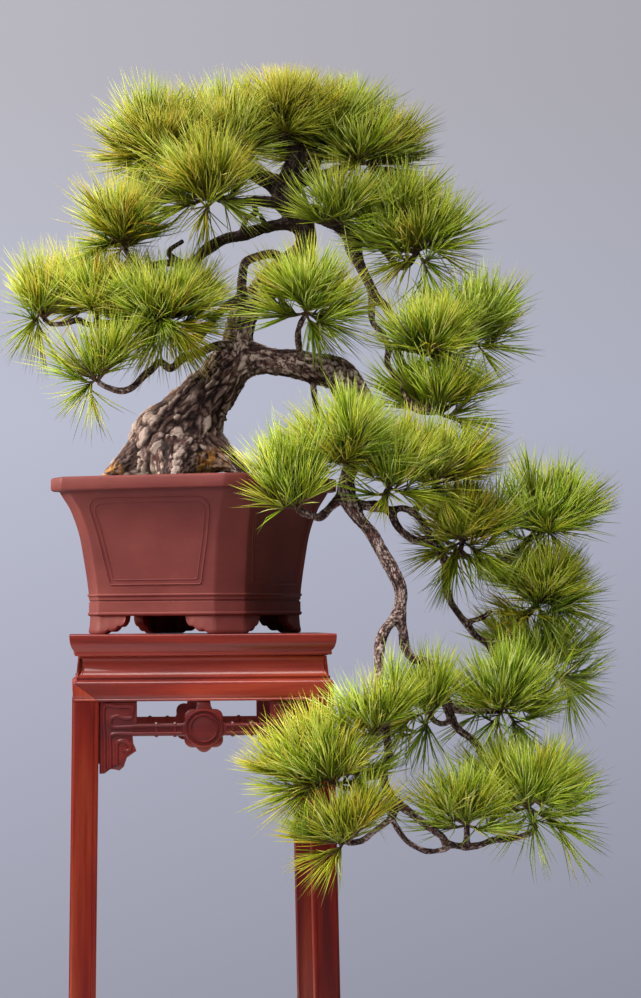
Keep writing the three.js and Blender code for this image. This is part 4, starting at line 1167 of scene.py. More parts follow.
def side_shoots(start, end, random):
    """Shorter shoots that leave a shoot on all sides, each turned on by about the golden
    angle, and turn up."""
    way = end - start
    length = np.linalg.norm(way)
    count = max(2, round(length / SIDE_EVERY))
    made = []
    turn = random.uniform(0, 2 * math.pi)
    u, v = square_to(way)
    for k in range(count):
        turn += 2.4 + random.uniform(-0.3, 0.3)
        share = 0.15 + 0.7 * (k + 0.5) / count
        outward = u * math.cos(turn) + v * math.sin(turn)
        lean = outward * random.uniform(0.55, 0.95)
        direction = unit(unit(way) * 0.8 + lean + np.array([0, 0, 0.4]))
        root = start + way * share
        made.append((root, root + direction * random.uniform(*SIDE_LENGTH)))
    return made


def stray_shoots(root, count, random):
    """Up to count longer shoots that break a spray's round outline: nearly level or rising, in
    any direction, where neither they nor their needles leave the part's box or enter pot or
    stand."""
    low, high = ((np.array(corner) - TOP) / MM for corner in cad_box)
    made = []
    for _ in range(count):
        turn = random.uniform(0, 2 * math.pi)
        way = unit(np.array([math.cos(turn), math.sin(turn), random.uniform(-0.15, 0.8)]))
        end = root + way * random.uniform(*STRAY_LENGTH)
        reach = end + way * 0.6 * NEEDLE_LENGTH
        free = not in_holder(np.array([end, reach])).any()
        if free and (reach > low).all() and (reach < high).all():
            made.append((root, end))
    return made


def shoot_surface(start, end, radius):
    """A slim shoot, bowed a little below the straight line between its ends, with five
    sides and a slim tip."""
    middle = (start + end) / 2 + np.array([0, 0, -0.06 * np.linalg.norm(end - start)])
    t = np.linspace(0, 1, 6)[:, None]
    path = (1 - t) ** 2 * start + 2 * t * (1 - t) * middle + t ** 2 * end
    across, side = carried(path)
    thick = radius * np.array([1.15, 1.0, 1.1, 0.9, 0.95, 0.4])
    return closed_grid(path[:, None] + spokes(across, side, turns(5)) * thick[:, None, None])


def needle_places(start, end, pairs, random):
    """Where pairs of needles leave a shoot: roots, directions and the shoot's own way.
    They turn round it by the golden angle and lean out less and less toward its tip, so
    each shoot carries a brush. They also turn up, and the ones that would hang do so less,
    but not on a shoot that hangs itself."""
    way = end - start
    share = (np.arange(pairs) + 0.5) / pairs
    turn = np.arange(pairs) * GOLDEN_ANGLE + random.uniform(0, 6.3)
    u, v = square_to(way)
    roots = start + way * (FIRST_NEEDLE + (LAST_NEEDLE - FIRST_NEEDLE) * share)[:, None]
    lean = (LEAN_LEAST + LEAN_MORE * (1 - share) ** 1.1) * random.uniform(0.6, 1.3, pairs)
    outward = u * np.cos(turn)[:, None] + v * np.sin(turn)[:, None]
    ways = unit(way) * np.cos(lean)[:, None] + outward * np.sin(lean)[:, None]
    rising = np.clip(1 + 2 * unit(way)[2], 0, 1)
    droop = 1 - rising * (1 - NEEDLE_DROOP)
    ways[:, 2] = np.where(ways[:, 2] < 0, ways[:, 2] * droop, ways[:, 2]) + NEEDLE_LIFT * rising
    return roots, unit(ways)


def in_holder(points):
    """Whether points lie in the space of the pot with its soil, or of the stand."""
    x, y, z = points.T
    reach = STAND_HALF + LEG_SPLAY + 1
    stand = (z < 1) & (np.abs(x) < reach) & (np.abs(y) < reach)
    c, s = math.cos(-POT_YAW), math.sin(-POT_YAW)
    across = np.maximum(np.abs((x - POT_X) * c - y * s), np.abs((x - POT_X) * s + y * c))
    levels, halves = np.array(POT_WALLS).T
    wall = np.where(z > POT_RIM_BOTTOM - 3, POT_RIM_HALF, np.interp(z, levels, halves))
    return stand | ((z >= 1) & (z < POT_TOP + 1) & (across < wall + 1))


def needle_surface(roots, ways, gold, lengths, random):
    """Thin three-sided needles, each bowed a little: a ring at the root, one past the
    middle and a point at the tip. Some stray from their tuft. Those that would leave the
    part's box are shortened. Those that end up too short are dropped, and so are those
    whose middle or tip would lie in the pot or the stand."""
    count = len(roots)
    stray = (random.uniform(0, 1, count) < FRINGE)[:, None]
    ways = unit(ways + stray * random.normal(0, 0.22, (count, 3)))
    length = (lengths + NEEDLE_VARIES * random.uniform(-1, 1, count)) * (1 + 0.12 * stray[:, 0])
    low, high = (np.array(corner) for corner in cad_box)
    low, high = (low - TOP) / MM + 0.5, (high - TOP) / MM - 0.5
    with np.errstate(divide="ignore", invalid="ignore"):
        room = np.where(ways > 0, (high - roots) / ways, (low - roots) / ways)
    length = np.minimum(length, room.min(axis=1))
    u = unit(np.cross(ways, random.normal(size=(count, 3))))
    v = np.cross(ways, u)
    bow = u * (length * random.normal(0, 0.035, count))[:, None]
    bow[:, 2] += 0.012 * length
    middle = roots + ways * (0.52 * length)[:, None] + bow
    tip = roots + ways * length[:, None]
    keep = (length > 0.55 * NEEDLE_LENGTH) & ~in_holder(tip) & ~in_holder(middle)
    roots, middle, tip, u, v = (each[keep] for each in (roots, middle, tip, u, v))
    count = len(roots)
    thick = NEEDLE_R * random.uniform(0.85, 1.15, count)[:, None]
    rings = []
    for centre, share in ((roots, 1.0), (middle, 0.9)):
        for angle in turns(3):
            rings.append(centre + thick * share * (u * math.cos(angle) + v * math.sin(angle)))
    points = np.stack(rings + [tip], axis=1)
    base = 7 * np.arange(count)[:, None, None]
    quads = base + np.array([(0, 1, 4, 3), (1, 2, 5, 4), (2, 0, 3, 5)])
    fans = base + np.array([(3, 4, 6), (4, 5, 6), (5, 3, 6), (2, 1, 0)])
    along = np.tile([0, 0, 0, 0.55, 0.55, 0.55, 1], (count, 1))
    tone = np.repeat(random.uniform(0, 1, count)[:, None], 7, axis=1)
    golden = np.clip(gold[keep] + random.normal(0, 0.12, count), 0, 1)
    return Surface(points, quads, fans, along=along.ravel(), tone=tone.ravel(),
                   gold=np.repeat(golden, 7))


def spray(name, materials):
    """The finer spray that stands for a CAD spray: longer shoots beside its shoots, side
    shoots on all of them, and paired needles. Each shoot's tuft has its own length and its
    own share of yellow, and sprays that GOLD doesn't name are thinner."""
    random = np.random.default_rng(sum(map(ord, name)))
    main = shoots_of(name)
    main += stray_shoots(main[0][0], 1 if name in OPEN else STRAYS, random)
    gold = GOLD.get(name, GOLD_ELSEWHERE)
    fullness = 1.0 if name in GOLD else THINNER
    wood, roots, ways, golds, lengths = [], [], [], [], []
    for start, end in main:
        sides = side_shoots(start, end, random)
        wood.append(shoot_surface(start, end, SHOOT_R))
        wood += [shoot_surface(a, b, 0.7 * SHOOT_R) for a, b in sides]
        shoot_gold = gold + random.normal(0, 0.2)
        tufts = [((start, end), PAIRS_MAIN)] + [(side, PAIRS_SIDE) for side in sides]
        for (a, b), most in tufts:
            pairs = max(5, round(most * fullness * random.uniform(0.7, 1.2)))
            spots, directions = needle_places(a, b, pairs, random)
            spread = unit(np.cross(directions, random.normal(size=directions.shape)))
            tuft_gold = shoot_gold + random.normal(0, 0.2)
            tuft_length = NEEDLE_LENGTH * random.uniform(0.78, 1.12)
            for sign in (-1, 1):
                roots.append(spots)
                ways.append(unit(directions + sign * PAIR_SPREAD * spread))
                golds.append(np.full(pairs, tuft_gold))
                lengths.append(np.full(pairs, tuft_length))
    shoots = joined(wood)
    needles = needle_surface(np.vstack(roots), np.vstack(ways), np.concatenate(golds),
                             np.concatenate(lengths), random)
    both = joined([needles, shoots])
    pick = np.concatenate([
        np.zeros(len(needles.quads)), np.ones(len(shoots.quads)),
        np.zeros(len(needles.triangles)), np.ones(len(shoots.triangles)),
    ])
    piece(f"spray_{name}", both, materials, [f"needles_{name}"], 180, pick)


def foliage():
    """All the sprays, in needles and young wood."""
    materials = [needle_finish(), shoot_finish()]
    for name in SPRAYS:
        spray(name, materials)


# Pot and soil


def pot_loop(half, chamfer, z, rounding=3.0):
    """A level of the pot: a square with its corners cut off, each of the eight corners
    rounded by a parabola, with points along the flats."""
    near = half - chamfer
    corners = np.array([
        (half, -near), (half, near), (near, half), (-near, half),
        (-half, near), (-half, -near), (-near, -half), (near, -half),
    ], float)
    points = []
    for i, corner in enumerate(corners):
        before, after = corners[i - 1], corners[(i + 1) % 8]
        start = corner + unit(before - corner) * rounding
        end = corner + unit(after - corner) * rounding
        for t in np.linspace(0, 1, 5):
            points.append((1 - t) ** 2 * start + 2 * t * (1 - t) * corner + t * t * end)
        follow = after + unit(corner - after) * rounding
        for t in np.linspace(0, 1, 8 if i % 2 == 0 else 4)[1:-1]:
            points.append(end + (follow - end) * t)
    points = np.array(points)
    return np.column_stack([points, np.full(len(points), float(z))])


def pot_half(z):
    """Half the pot's width at a height, on a smooth curve through its wall's levels."""
    fine = curve([(level, half, 0) for level, half in POT_WALLS], 1.0)
    return np.interp(z, fine[:, 0], fine[:, 1])


def ridge(z, middle, width, height):
    """A half-round line at a height: the root of 1 less the square of the distance."""
    return height * np.sqrt(np.clip(1 - ((z - middle) / width) ** 2, 0, 1))


def pot_body():
    """The pot as one closed skin: down the outside in fine levels with its raised lines,
    through the drain hole, over the floor, up the inside and round the rim."""
    fine = np.concatenate([
        np.arange(POT_FOOT, POT_LINES_END, 0.45),
        np.linspace(POT_LINES_END, POT_RIM_BOTTOM - 0.4, 44),
    ])
    outer = pot_half(fine) + sum(ridge(fine, *bead) for bead in POT_BEADS)
    outer -= ridge(fine, *POT_GROOVE)
    outer[0] -= 0.8
    rim = [
        (-3, -0.3), (-2.2, 0.2), (-0.6, 1.2), (0, 3.0), (0, 15.5), (-0.5, 17.2), (-1.8, 18.5),
        (-3.6, 19),
    ]
    loops = [pot_loop(half, POT_CHAMFER, z) for z, half in zip(fine, outer)]
    for out, up in rim:
        loops.append(pot_loop(POT_RIM_HALF + out, POT_RIM_CHAMFER, POT_RIM_BOTTOM + up, 4.0))
    inside = POT_CHAMFER - CHAMFER_SHRINK * POT_WALL
    mouth = pot_half(POT_RIM_BOTTOM) - POT_WALL
    loops += [
        pot_loop(mouth + 2.5, inside, POT_TOP), pot_loop(mouth + 0.6, inside, POT_TOP - 0.9),
        pot_loop(mouth, inside, POT_TOP - 3),
    ]
    for z in (POT_RIM_BOTTOM, 190, 172, 142, 111, 60, POT_FLOOR + 2, POT_FLOOR):
        loops.append(pot_loop(pot_half(z) - POT_WALL, inside, z))
    floor = loops[-1]
    around = np.arctan2(floor[:, 1], floor[:, 0])
    hole = DRAIN_R * np.column_stack([np.cos(around), np.sin(around)])
    for z in (POT_FLOOR, POT_FOOT):
        loops.append(np.column_stack([hole, np.full(len(hole), float(z))]))
    return closed_grid(np.array(loops), ends=False).outward()


def wall_point(u, z):
    """Places on the pot's front wall: u along it and z up."""
    return np.column_stack([u, -pot_half(z), z])


def panel(side):
    """The panel of one wall: two raised threads, one inside the other, that follow the
    wall's flare. Their corners are rounded, the upper ones more."""
    surfaces = []
    small, large = PANEL_CORNERS
    for inset, width, height in PANEL_THREADS:
        low, high = PANEL_LOW + inset, PANEL_HIGH - inset
        corners = (
            (-1, low, small, 180), (1, low, small, 270), (1, high, large, 0), (-1, high, large, 90),
        )
        route = []
        for cx, cz, r, first in corners:
            r -= 0.5 * inset * (cz == high)
            half = np.interp(cz, (PANEL_LOW, PANEL_HIGH), PANEL_HALVES) - inset
            lift = r if cz == low else -r
            for degrees in np.linspace(first, first + 90, 9):
                angle = math.radians(degrees)
                route.append((cx * (half - r) + r * math.cos(angle), cz + lift + r * math.sin(angle)))
        route = np.array(route + route[:1])
        run = np.concatenate([[0], np.cumsum(np.linalg.norm(np.diff(route, axis=0), axis=1))])
        even = np.linspace(0, run[-1], int(run[-1] / 2))[:-1]
        path = wall_point(np.interp(even, run, route[:, 0]), np.interp(even, run, route[:, 1]))
        surfaces.append(thread(path, width, height, loop=True))
    return joined(surfaces).turned(side * math.pi / 2)


def foot():
    """A bracket foot round the chamfered corner toward +X, -Y: a curtain that is flat
    below the corner's middle. Its lower edge rises as a bowl's does, with three lobes to
    each side, and a rounded rim follows it."""
    half = POT_WALLS[0][1]
    near = half - POT_CHAMFER
    corner = POT_CHAMFER * math.sqrt(2)
    total = corner + 2 * FOOT_WING
    u = np.linspace(0, total, 120)
    share = np.clip((np.abs(u - total / 2) - FOOT_FLAT) / (total / 2 - FOOT_FLAT), 0, 1)
    begin = np.clip(4 * share, 0, 1)
    lobes = np.abs(np.sin(FOOT_LOBES * math.pi * share ** 1.3)) * begin * (share < 1)
    bowl = POT_FOOT * (1 - np.sqrt(np.clip(1 - share ** 2, 0, 1)))
    low = np.clip(bowl + 2.2 * begin - 3.4 * lobes, 0, POT_FOOT - 0.6)
    relief = 1.5 * np.abs(np.cos(3 * math.pi * (u - total / 2) / total)) ** 0.7
    knots = np.array([
        (near - FOOT_WING, -half), (near, -half), (half, -near), (half, -near + FOOT_WING),
    ])
    stops = np.array([0, FOOT_WING, FOOT_WING + corner, total])
    line = np.column_stack([np.interp(u, stops, knots[:, k]) for k in range(2)])
    smooth = np.array([line[max(0, i - 3):i + 4].mean(0) for i in range(len(line))])
    normal = unit(np.column_stack([np.gradient(smooth[:, 1]), -np.gradient(smooth[:, 0])]))
    top = POT_FOOT + 1.5
    face = [(0, -0.4), (0.3, -0.2), (0.6, 0.4), (0.78, 1.6), (0.9, 1.9), (0.97, 1.0), (1, -0.8)]
    rows = []
    for down, out in face:
        swell = relief * math.sin(math.pi * min(down, 0.95))
        rows.append((out - 1.4 + swell, top + (low - top) * down))
    rows += [(-FOOT_THICK + 1.5, low), (-FOOT_THICK, low + 1.2), (-FOOT_THICK, top)]
    ones = np.ones(len(u))
    rings = np.stack([
        np.column_stack([smooth + normal * (out * ones)[:, None], z * ones]) for out, z in rows
    ], axis=1)
    return closed_grid(rings).outward()


def pot():
    """The pot's body with its four feet and four panels, turned on the stand."""
    surfaces = [pot_body()]
    surfaces += [foot().turned(k * math.pi / 2) for k in range(4)]
    surfaces += [panel(k) for k in range(4)]
    whole = joined(surfaces).turned(POT_YAW, (POT_X, 0, GAP))
    piece("pot_body", whole, [clay_finish()], ["pot"], smooth=34)


def soil():
    """The soil's top, gently heaped toward the trunk and rough with grit, with moss
    cushions, over a plain underside; and loose grains that lie on it."""
    inside = POT_CHAMFER - CHAMFER_SHRINK * POT_WALL
    edge = pot_loop(pot_half(POT_RIM_BOTTOM) - POT_WALL - 0.6, inside, 0)[:, :2]
    shares = np.concatenate([[0.02], np.linspace(0.05, 1, 90)])
    flat = edge[None] * shares[:, None, None]
    fine = np.concatenate([flat, np.zeros(flat.shape[:2] + (1,))], axis=-1)
    heap = 2.5 * (1 - shares[:, None] ** 2) + 1.3 * noise(fine / 38, 3)
    near, _, tone, _ = cells(fine / 4.2, 8)
    grit = 1.5 * np.sqrt(np.clip(1 - near ** 2 * 1.8, 0, 1)) + 0.5 * noise(fine / 1.6, 4)
    moss = rise(noise(fine / 26, 12) + 0.5 * noise(fine / 9, 13), 0.12, 0.30)
    cushion = 2.6 * moss + 0.5 * moss * noise(fine / 2.2, 14)
    top = SOIL_TOP - 1.6 + heap + grit * (1 - moss) + cushion
    top = np.minimum(top, POT_TOP - 0.4)
    rings = np.concatenate([flat, top[..., None]], axis=-1)
    under = np.concatenate([flat[-1:], np.full((1, len(edge), 1), SOIL_TOP - 14.0)], axis=-1)
    heaped = closed_grid(np.concatenate([rings, under])).outward().with_data(
        tone=grid_data(np.concatenate([tone, tone[-1:]])),
        moss=grid_data(np.concatenate([moss, moss[-1:]])),
    )
    whole = joined([heaped, grains()]).turned(POT_YAW, (POT_X, 0, GAP))
    piece("soil_top", whole, [soil_finish()], ["soil"], smooth=180)


def grains():
    """Loose grains: balls of eight faces, squeezed and turned at random, scattered evenly."""
    random = np.random.default_rng(5)
    count = 900
    reach = pot_half(POT_RIM_BOTTOM) - POT_WALL - 8
    place = random.uniform(-reach, reach, (count, 2))
    place = place[np.abs(place).sum(1) < 2 * reach - POT_CHAMFER]
    size = random.uniform(0.9, 2.3, len(place))
    ball = np.array([(1, 0, 0), (-1, 0, 0), (0, 1, 0), (0, -1, 0), (0, 0, 1), (0, 0, -1)], float)
    fans = np.array([
        (0, 2, 4), (2, 1, 4), (1, 3, 4), (3, 0, 4), (2, 0, 5), (1, 2, 5), (3, 1, 5), (0, 3, 5),
    ])
    rough = ball[None] * random.uniform(0.7, 1.2, (len(place), 6, 1)) * size[:, None, None]
    height = SOIL_TOP + 1.5 + random.uniform(-0.4, 0.9, len(place))
    points = rough + np.column_stack([place, height])[:, None]
    points[..., 2] = np.minimum(points[..., 2], POT_TOP - 0.4)
    faces = fans[None] + 6 * np.arange(len(place))[:, None, None]
    tone = np.repeat(random.uniform(0.3, 1, len(place)), 6)
    return Surface(points, (), faces, tone=tone, moss=np.zeros(len(tone)))


# Stand


def fibres(surface, axis, seed):
    """Places for the wood's figure: the surface's own, turned so that X runs along the
    given axis, and moved by a draw of the piece's own."""
    order = {"x": [0, 1, 2], "y": [1, 2, 0], "z": [2, 0, 1]}[axis]
    shift = np.random.default_rng(seed).uniform(-900, 900, 3)
    return surface.with_data(grain=(surface.points[:, order] + shift) * MM)


def round_part(cx, cz, radius, first, last, count=6):
    """Points on an arc, for a profile."""
    angles = np.radians(np.linspace(first, last, count))
    return [(cx + radius * math.cos(a), cz + radius * math.sin(a)) for a in angles]


def mitre_climb(z):
    """How far the diagonal between an apron and a leg has gone out over the leg at a
    height."""
    return np.clip((z + APRON_BOTTOM) * LEG_WIDTH / MITRE_HIGH, 0, None)


def board(profile, seed, mitre=False):
    """A board of the front side, from a closed profile of distance out and height, cut at
    45 degrees at its ends. With a mitre, its face also meets upright wood on a diagonal
    line from its lower edge at the leg's inner side, and the fibres turn there."""
    profile = np.asarray(profile, float)
    end = profile[:, 0] - GAP
    inner = LEG_OUTER - LEG_WIDTH
    spans = [s * 0.75 * inner * np.ones(len(profile)) for s in (0, 0.34, 0.67, 1)]
    inset = [0.0] * 4
    if mitre:
        line = np.minimum(inner + mitre_climb(profile[:, 1]), end - 2.5)
        spans += [line - 0.6, line, line + 0.6]
        inset += [0.0, 0.7, 0.0]
    spans.append(end)
    inset.append(0.0)
    sides = [(-x, cut) for x, cut in zip(spans[::-1], inset[::-1])]
    sides += list(zip(spans[1:], inset[1:]))
    rings = []
    for x, cut in sides:
        face = cut * (profile[:, 0] > LEG_OUTER - 12)
        rings.append(np.column_stack([x, -(profile[:, 0] - face), profile[:, 1]]))
    surface = fibres(closed_grid(np.array(rings)).outward(), "x", seed)
    if mitre:
        upright = fibres(Surface(surface.points, surface.quads, surface.triangles), "z", seed + 5)
        x, z = np.abs(surface.points[:, 0]), surface.points[:, 2]
        past = x > inner + mitre_climb(z) - 0.3
        turned = (past & (z < APRON_FACE_TOP))[:, None]
        surface.data["grain"] = np.where(turned, upright.data["grain"], surface.data["grain"])
    return surface


def rail_profile():
    """The top's edge: a face that rounds under, a bead, and a flat underside."""
    half = STAND_HALF
    return [
        (RAIL_INNER, -0.5), (RAIL_INNER, -TOP_THICK), (half - 15, -TOP_THICK),
        (half - 12, -29.4), (half - 10, -28.6),
        *round_part(half - 8.6, -26.2, 2.5, 250, 380, 8),
        (half - 6.9, -23.4), (half - 5.0, -21.4), (half - 2.4, -17.6),
        (half - 0.8, -12.5), (half - 0.2, -7.5), (half, -3.5),
        *round_part(half - 1.8, -1.8, 1.8, 0, 90, 5), (RAIL_INNER + 0.6, 0),
    ]


def apron_profile():
    """Waist and apron: a recess under the top, a cove that flares out to a fine groove,
    and a rounded shoulder over the apron's face, with a bead along its lower edge."""
    out = LEG_OUTER
    cove = [
        (out - 13.0 + 8.6 * (1 - math.cos(t)), -40 - 17 * math.sin(t))
        for t in np.radians([90, 78, 66, 54, 42, 30, 16, 0])
    ]
    return [
        (APRON_BACK, -TOP_THICK - GAP), (APRON_BACK, -APRON_BOTTOM),
        (out - 4.2, -APRON_BOTTOM),
        *round_part(out - 2.4, -APRON_BOTTOM + 1.9, 1.9, -90, 60, 6),
        (out - 1.3, -85.6), (out - 0.6, -84.6), (out - 0.1, -80), (out - 0.1, -72),
        *round_part(out - 5.1, -67, 5.0, -5, 80, 7),
        (out - 4.8, -61.6), (out - 6.2, -61.0), (out - 6.4, -60), (out - 5.2, -58.8),
        *cove, (out - 13.0, -35.5), (out - 12, -32.6), (out - 9, -TOP_THICK - GAP),
    ]


def leg_section():
    """A leg's outline, from its outer corner along each outer face: rounded there, with a
    bead along the inner edge of each face."""
    w = LEG_WIDTH
    face = [(9, 0), (w - 7.5, 0), (w - 6.6, 0.9), (w - 5.6, 0.9), (w - 5.0, 0.2)]
    bead = np.radians([150, 120, 90, 60, 30])
    face += [(w - 2.6 + 2.4 * math.cos(a), 0.9 - 0.9 * math.sin(a)) for a in bead]
    face += [(w, 1.4)]
    corner = [(5 - 5 * math.sin(a), 5 - 5 * math.cos(a)) for a in np.radians([0, 15, 30, 45])]
    one = [(a, b) for a, b in corner[::-1]] + face
    other = [(b, a) for a, b in one[1:]][::-1]
    return np.array(one + [(w - 0.6, w - 0.6)] + other)


def leg_lean(z):
    """How far a leg has moved out at a height, in step with its depth below the apron."""
    return LEG_SPLAY * (-z - APRON_BOTTOM) / (STAND_HEIGHT - APRON_BOTTOM)


def leg(seed):
    """A leg that leans out toward its sole, and the slimmer post behind the aprons."""
    section = leg_section()
    upper = np.linspace(-STAND_HEIGHT + 30, -APRON_BOTTOM - GAP, 9)
    rings = []
    for z in (-STAND_HEIGHT, -STAND_HEIGHT + 1.5, *upper):
        inset = 1.0 if z == -STAND_HEIGHT else 0.0
        outer = LEG_OUTER + leg_lean(z)
        points = section * (1 - 2 * inset / LEG_WIDTH) + inset - outer
        rings.append(np.column_stack([points, np.full(len(points), float(z))]))
    main = closed_grid(np.array(rings)).outward()
    outer, inner = APRON_BACK - GAP, APRON_BACK - GAP - LEG_POST
    square = np.array([(-outer, -outer), (-inner, -outer), (-inner, -inner), (-outer, -inner)])
    levels = (-APRON_BOTTOM - 4, -TOP_THICK - GAP)
    post = closed_grid(np.array([np.column_stack([square, np.full(4, float(z))]) for z in levels]))
    return fibres(joined([main, post.outward()]), "z", seed)


def stretcher(seed):
    """A plain rail between two legs, low down, with rounded edges."""
    middle = STRETCHER_Z - STAND_HEIGHT
    lean = leg_lean(middle)
    out = LEG_OUTER - LEG_WIDTH / 2 + lean
    h, d, r = STRETCHER_HIGH / 2, STRETCHER_DEEP / 2, 2.5
    section = [
        point for sx, sz, first in ((1, 1, 0), (-1, 1, 90), (-1, -1, 180), (1, -1, 270))
        for point in round_part(sx * (d - r), sz * (h - r), r, first, first + 90, 4)
    ]
    reach = LEG_OUTER - LEG_WIDTH + lean - GAP
    rings = []
    for s in np.linspace(-1, 1, 6):
        rings.append([(s * (reach - LEG_SLOPE * z), a - out, middle + z) for a, z in section])
    return fibres(closed_grid(np.array(rings)).outward(), "x", seed)


def frieze_outline():
    """The frieze's outline in x and z, as in the part's source, with more points on the
    medallion's lobes: first the lower side from left to right, then the upper back."""
    top = -APRON_BOTTOM - GAP
    leg_side = -(LEG_OUTER - LEG_WIDTH - GAP)
    under = [
        (leg_side, -187), (-134, -187), (-126, -181), (-120, -181.5), (-114, -183), (-108, -178),
        (-106, -172), (-104, -166), (-97, -161), (-91, -157), (-92.5, -152), (-95, -147),
        (-96, BAR_BOTTOM),
    ]

    def lobes(first, last):
        angle = np.radians(np.linspace(first, last, 26))
        swing = np.abs(np.cos(MEDALLION_LOBES / 2 * angle))
        radius = MEDALLION_R - MEDALLION_LOBE_HIGH + 2 * MEDALLION_LOBE_HIGH * swing
        return list(zip(radius * np.cos(angle), MEDALLION_Z + radius * np.sin(angle)))

    under += [(-27, BAR_BOTTOM)] + lobes(203, 270)
    over = [(-9, top)] + lobes(112, 158) + [(-27, BAR_TOP), (-90, BAR_TOP), (-90, top), (leg_side, top)]
    mirrored = [(-x, z) for x, z in reversed(under[:-1])]
    return under + mirrored + [(-x, z) for x, z in reversed(over)] + over


# The fret on the left bracket, as raised lines in x and z
FRET = [
    [(-134, -184), (-134, -140), (-134, -97), (-116, -96.5), (-97, -97), (-96.5, -106), (-98, -112),
     (-109, -112), (-117, -109.5), (-125, -113), (-126.5, -120), (-121, -124.5), (-96, -124)],
    [(-126.5, -180), (-126, -160), (-126.5, -140), (-121, -133.5), (-96, -133.5)],
    [(-118, -176), (-117.5, -160), (-117, -146), (-110, -142.5), (-102, -146), (-99, -152),
     (-103, -156.5), (-109, -154)],
]


def frieze(seed):
    """The openwork under an apron: a fret bracket at each leg, a bar with collars, and a
    lobed medallion with a ring and a disc. Rounded bands follow the fret and the bar."""
    front, back = -FRIEZE_FRONT, -FRIEZE_FRONT + FRIEZE_THICK
    surfaces = [plate(frieze_outline(), back, front, 1.6)]
    routes = [([(x * s, z) for x, z in route], 5.6, 3.6) for route in FRET for s in (-1, 1)]
    for z in (BAR_TOP - 3.4, BAR_BOTTOM + 3.4):
        routes += [([(s * 96, z), (s * 62, z), (s * 30, z)], 4.8, 3.2) for s in (-1, 1)]
    for route, width, height in routes:
        fine = curve([(x, front + 0.6, z) for x, z in route], 1.5)
        surfaces.append(thread(fine, width, height))
    for radius, width, height in ((24.5, 4.2, 3.0), (18.0, 3.6, 4.4)):
        surfaces.append(thread(medallion_ring(radius, front, 48), width, height, loop=True))
    surfaces.append(medallion_disc(front))
    for x in (-64, -39, 39, 64):
        surfaces.append(bar_collar(x))
    return fibres(joined(surfaces), "x", seed)


def medallion_ring(radius, y, count):
    """Points of a circle round the medallion's middle."""
    angle = turns(count)
    return np.column_stack([
        radius * np.cos(angle), np.full(count, float(y)), MEDALLION_Z + radius * np.sin(angle),
    ])


def medallion_disc(front):
    """A turned disc, slightly domed: rings that stand higher the nearer the middle."""
    profile = [(17.5, -1), (17.5, 1.0), (16.4, 2.0), (12, 2.7), (6, 3.2), (1, 3.3)]
    rings = [medallion_ring(radius, front - height, 40) for radius, height in profile]
    return closed_grid(np.array(rings)).outward()


def bar_collar(x):
    """A rounded band right round the bar."""
    high, deep = (BAR_TOP - BAR_BOTTOM) / 2 + 1.6, FRIEZE_THICK / 2 + 1.6
    z, y = (BAR_TOP + BAR_BOTTOM) / 2, -FRIEZE_FRONT + FRIEZE_THICK / 2
    section = [
        (1, 0.8), (0.8, 1), (-0.8, 1), (-1, 0.8), (-1, -0.8), (-0.8, -1), (0.8, -1), (1, -0.8),
    ]
    rings = []
    for step, shrink in ((-2.6, 1.4), (-1.8, 0.4), (0, 0), (1.8, 0.4), (2.6, 1.4)):
        a, b = deep - shrink, high - shrink
        rings.append([(x + step, y + p * a, z + q * b) for p, q in section])
    return closed_grid(np.array(rings)).outward()


def top_panel():
    """The panel in the top's frame: a thin board, its upper edge rounded."""
    half = RAIL_INNER - GAP
    rings = []
    for inset, z in ((0, -14), (0, -1.6), (0.4, -0.8), (1.4, -0.5)):
        h = half - inset
        rings.append([(-h, -h, z), (h, -h, z), (h, h, z), (-h, h, z)])
    return fibres(closed_grid(np.array(rings, float)).outward(), "y", 3)


def stand():
    """The stand: each kind of part on its four sides, and the top's panel."""
    # Painted sheen: the boards' colour goes a little toward a pale pink
    painted_sheen_boards = rosewood_finish("rosewood_boards_painted_sheen", 0.12, (0.46, 0.12, 0.095))
    upright = rosewood_finish("rosewood", 0.44, (0.050, 0.002, 0.001))
    carved = rosewood_finish("rosewood_carved", 0.62, (0.105, 0.019, 0.021))
    makers = {
        "rail": (lambda seed: board(rail_profile(), seed), painted_sheen_boards),
        "apron": (lambda seed: board(apron_profile(), seed, mitre=True), painted_sheen_boards),
        "leg": (leg, upright),
        "frieze": (frieze, carved),
        "stretcher": (stretcher, upright),
    }
    for kind, (maker, finish) in makers.items():
        for i, side in enumerate(("front", "right", "back", "left")):
            surface = maker(10 * i + len(kind)).turned(i * math.pi / 2)
            piece(f"stand_{kind}_{side}", surface, [finish], [f"{kind}_{side}"], 32)
    piece("stand_panel", top_panel(), [painted_sheen_boards], ["top_panel"], smooth=32)


# Stage

PHOTO_WIDE, PHOTO_HIGH = 641, 998
FOCAL = 3500  # pixels
BACK_POINT = (60, 620)  # pixel where lines that run straight back meet
ROLL = math.radians(0.2)
TOP_EDGE_PIXEL = (203.7, 634.2)  # middle of the top's front edge
MM_PER_PIXEL = 1.348  # there
FLOOR_R = 1.9


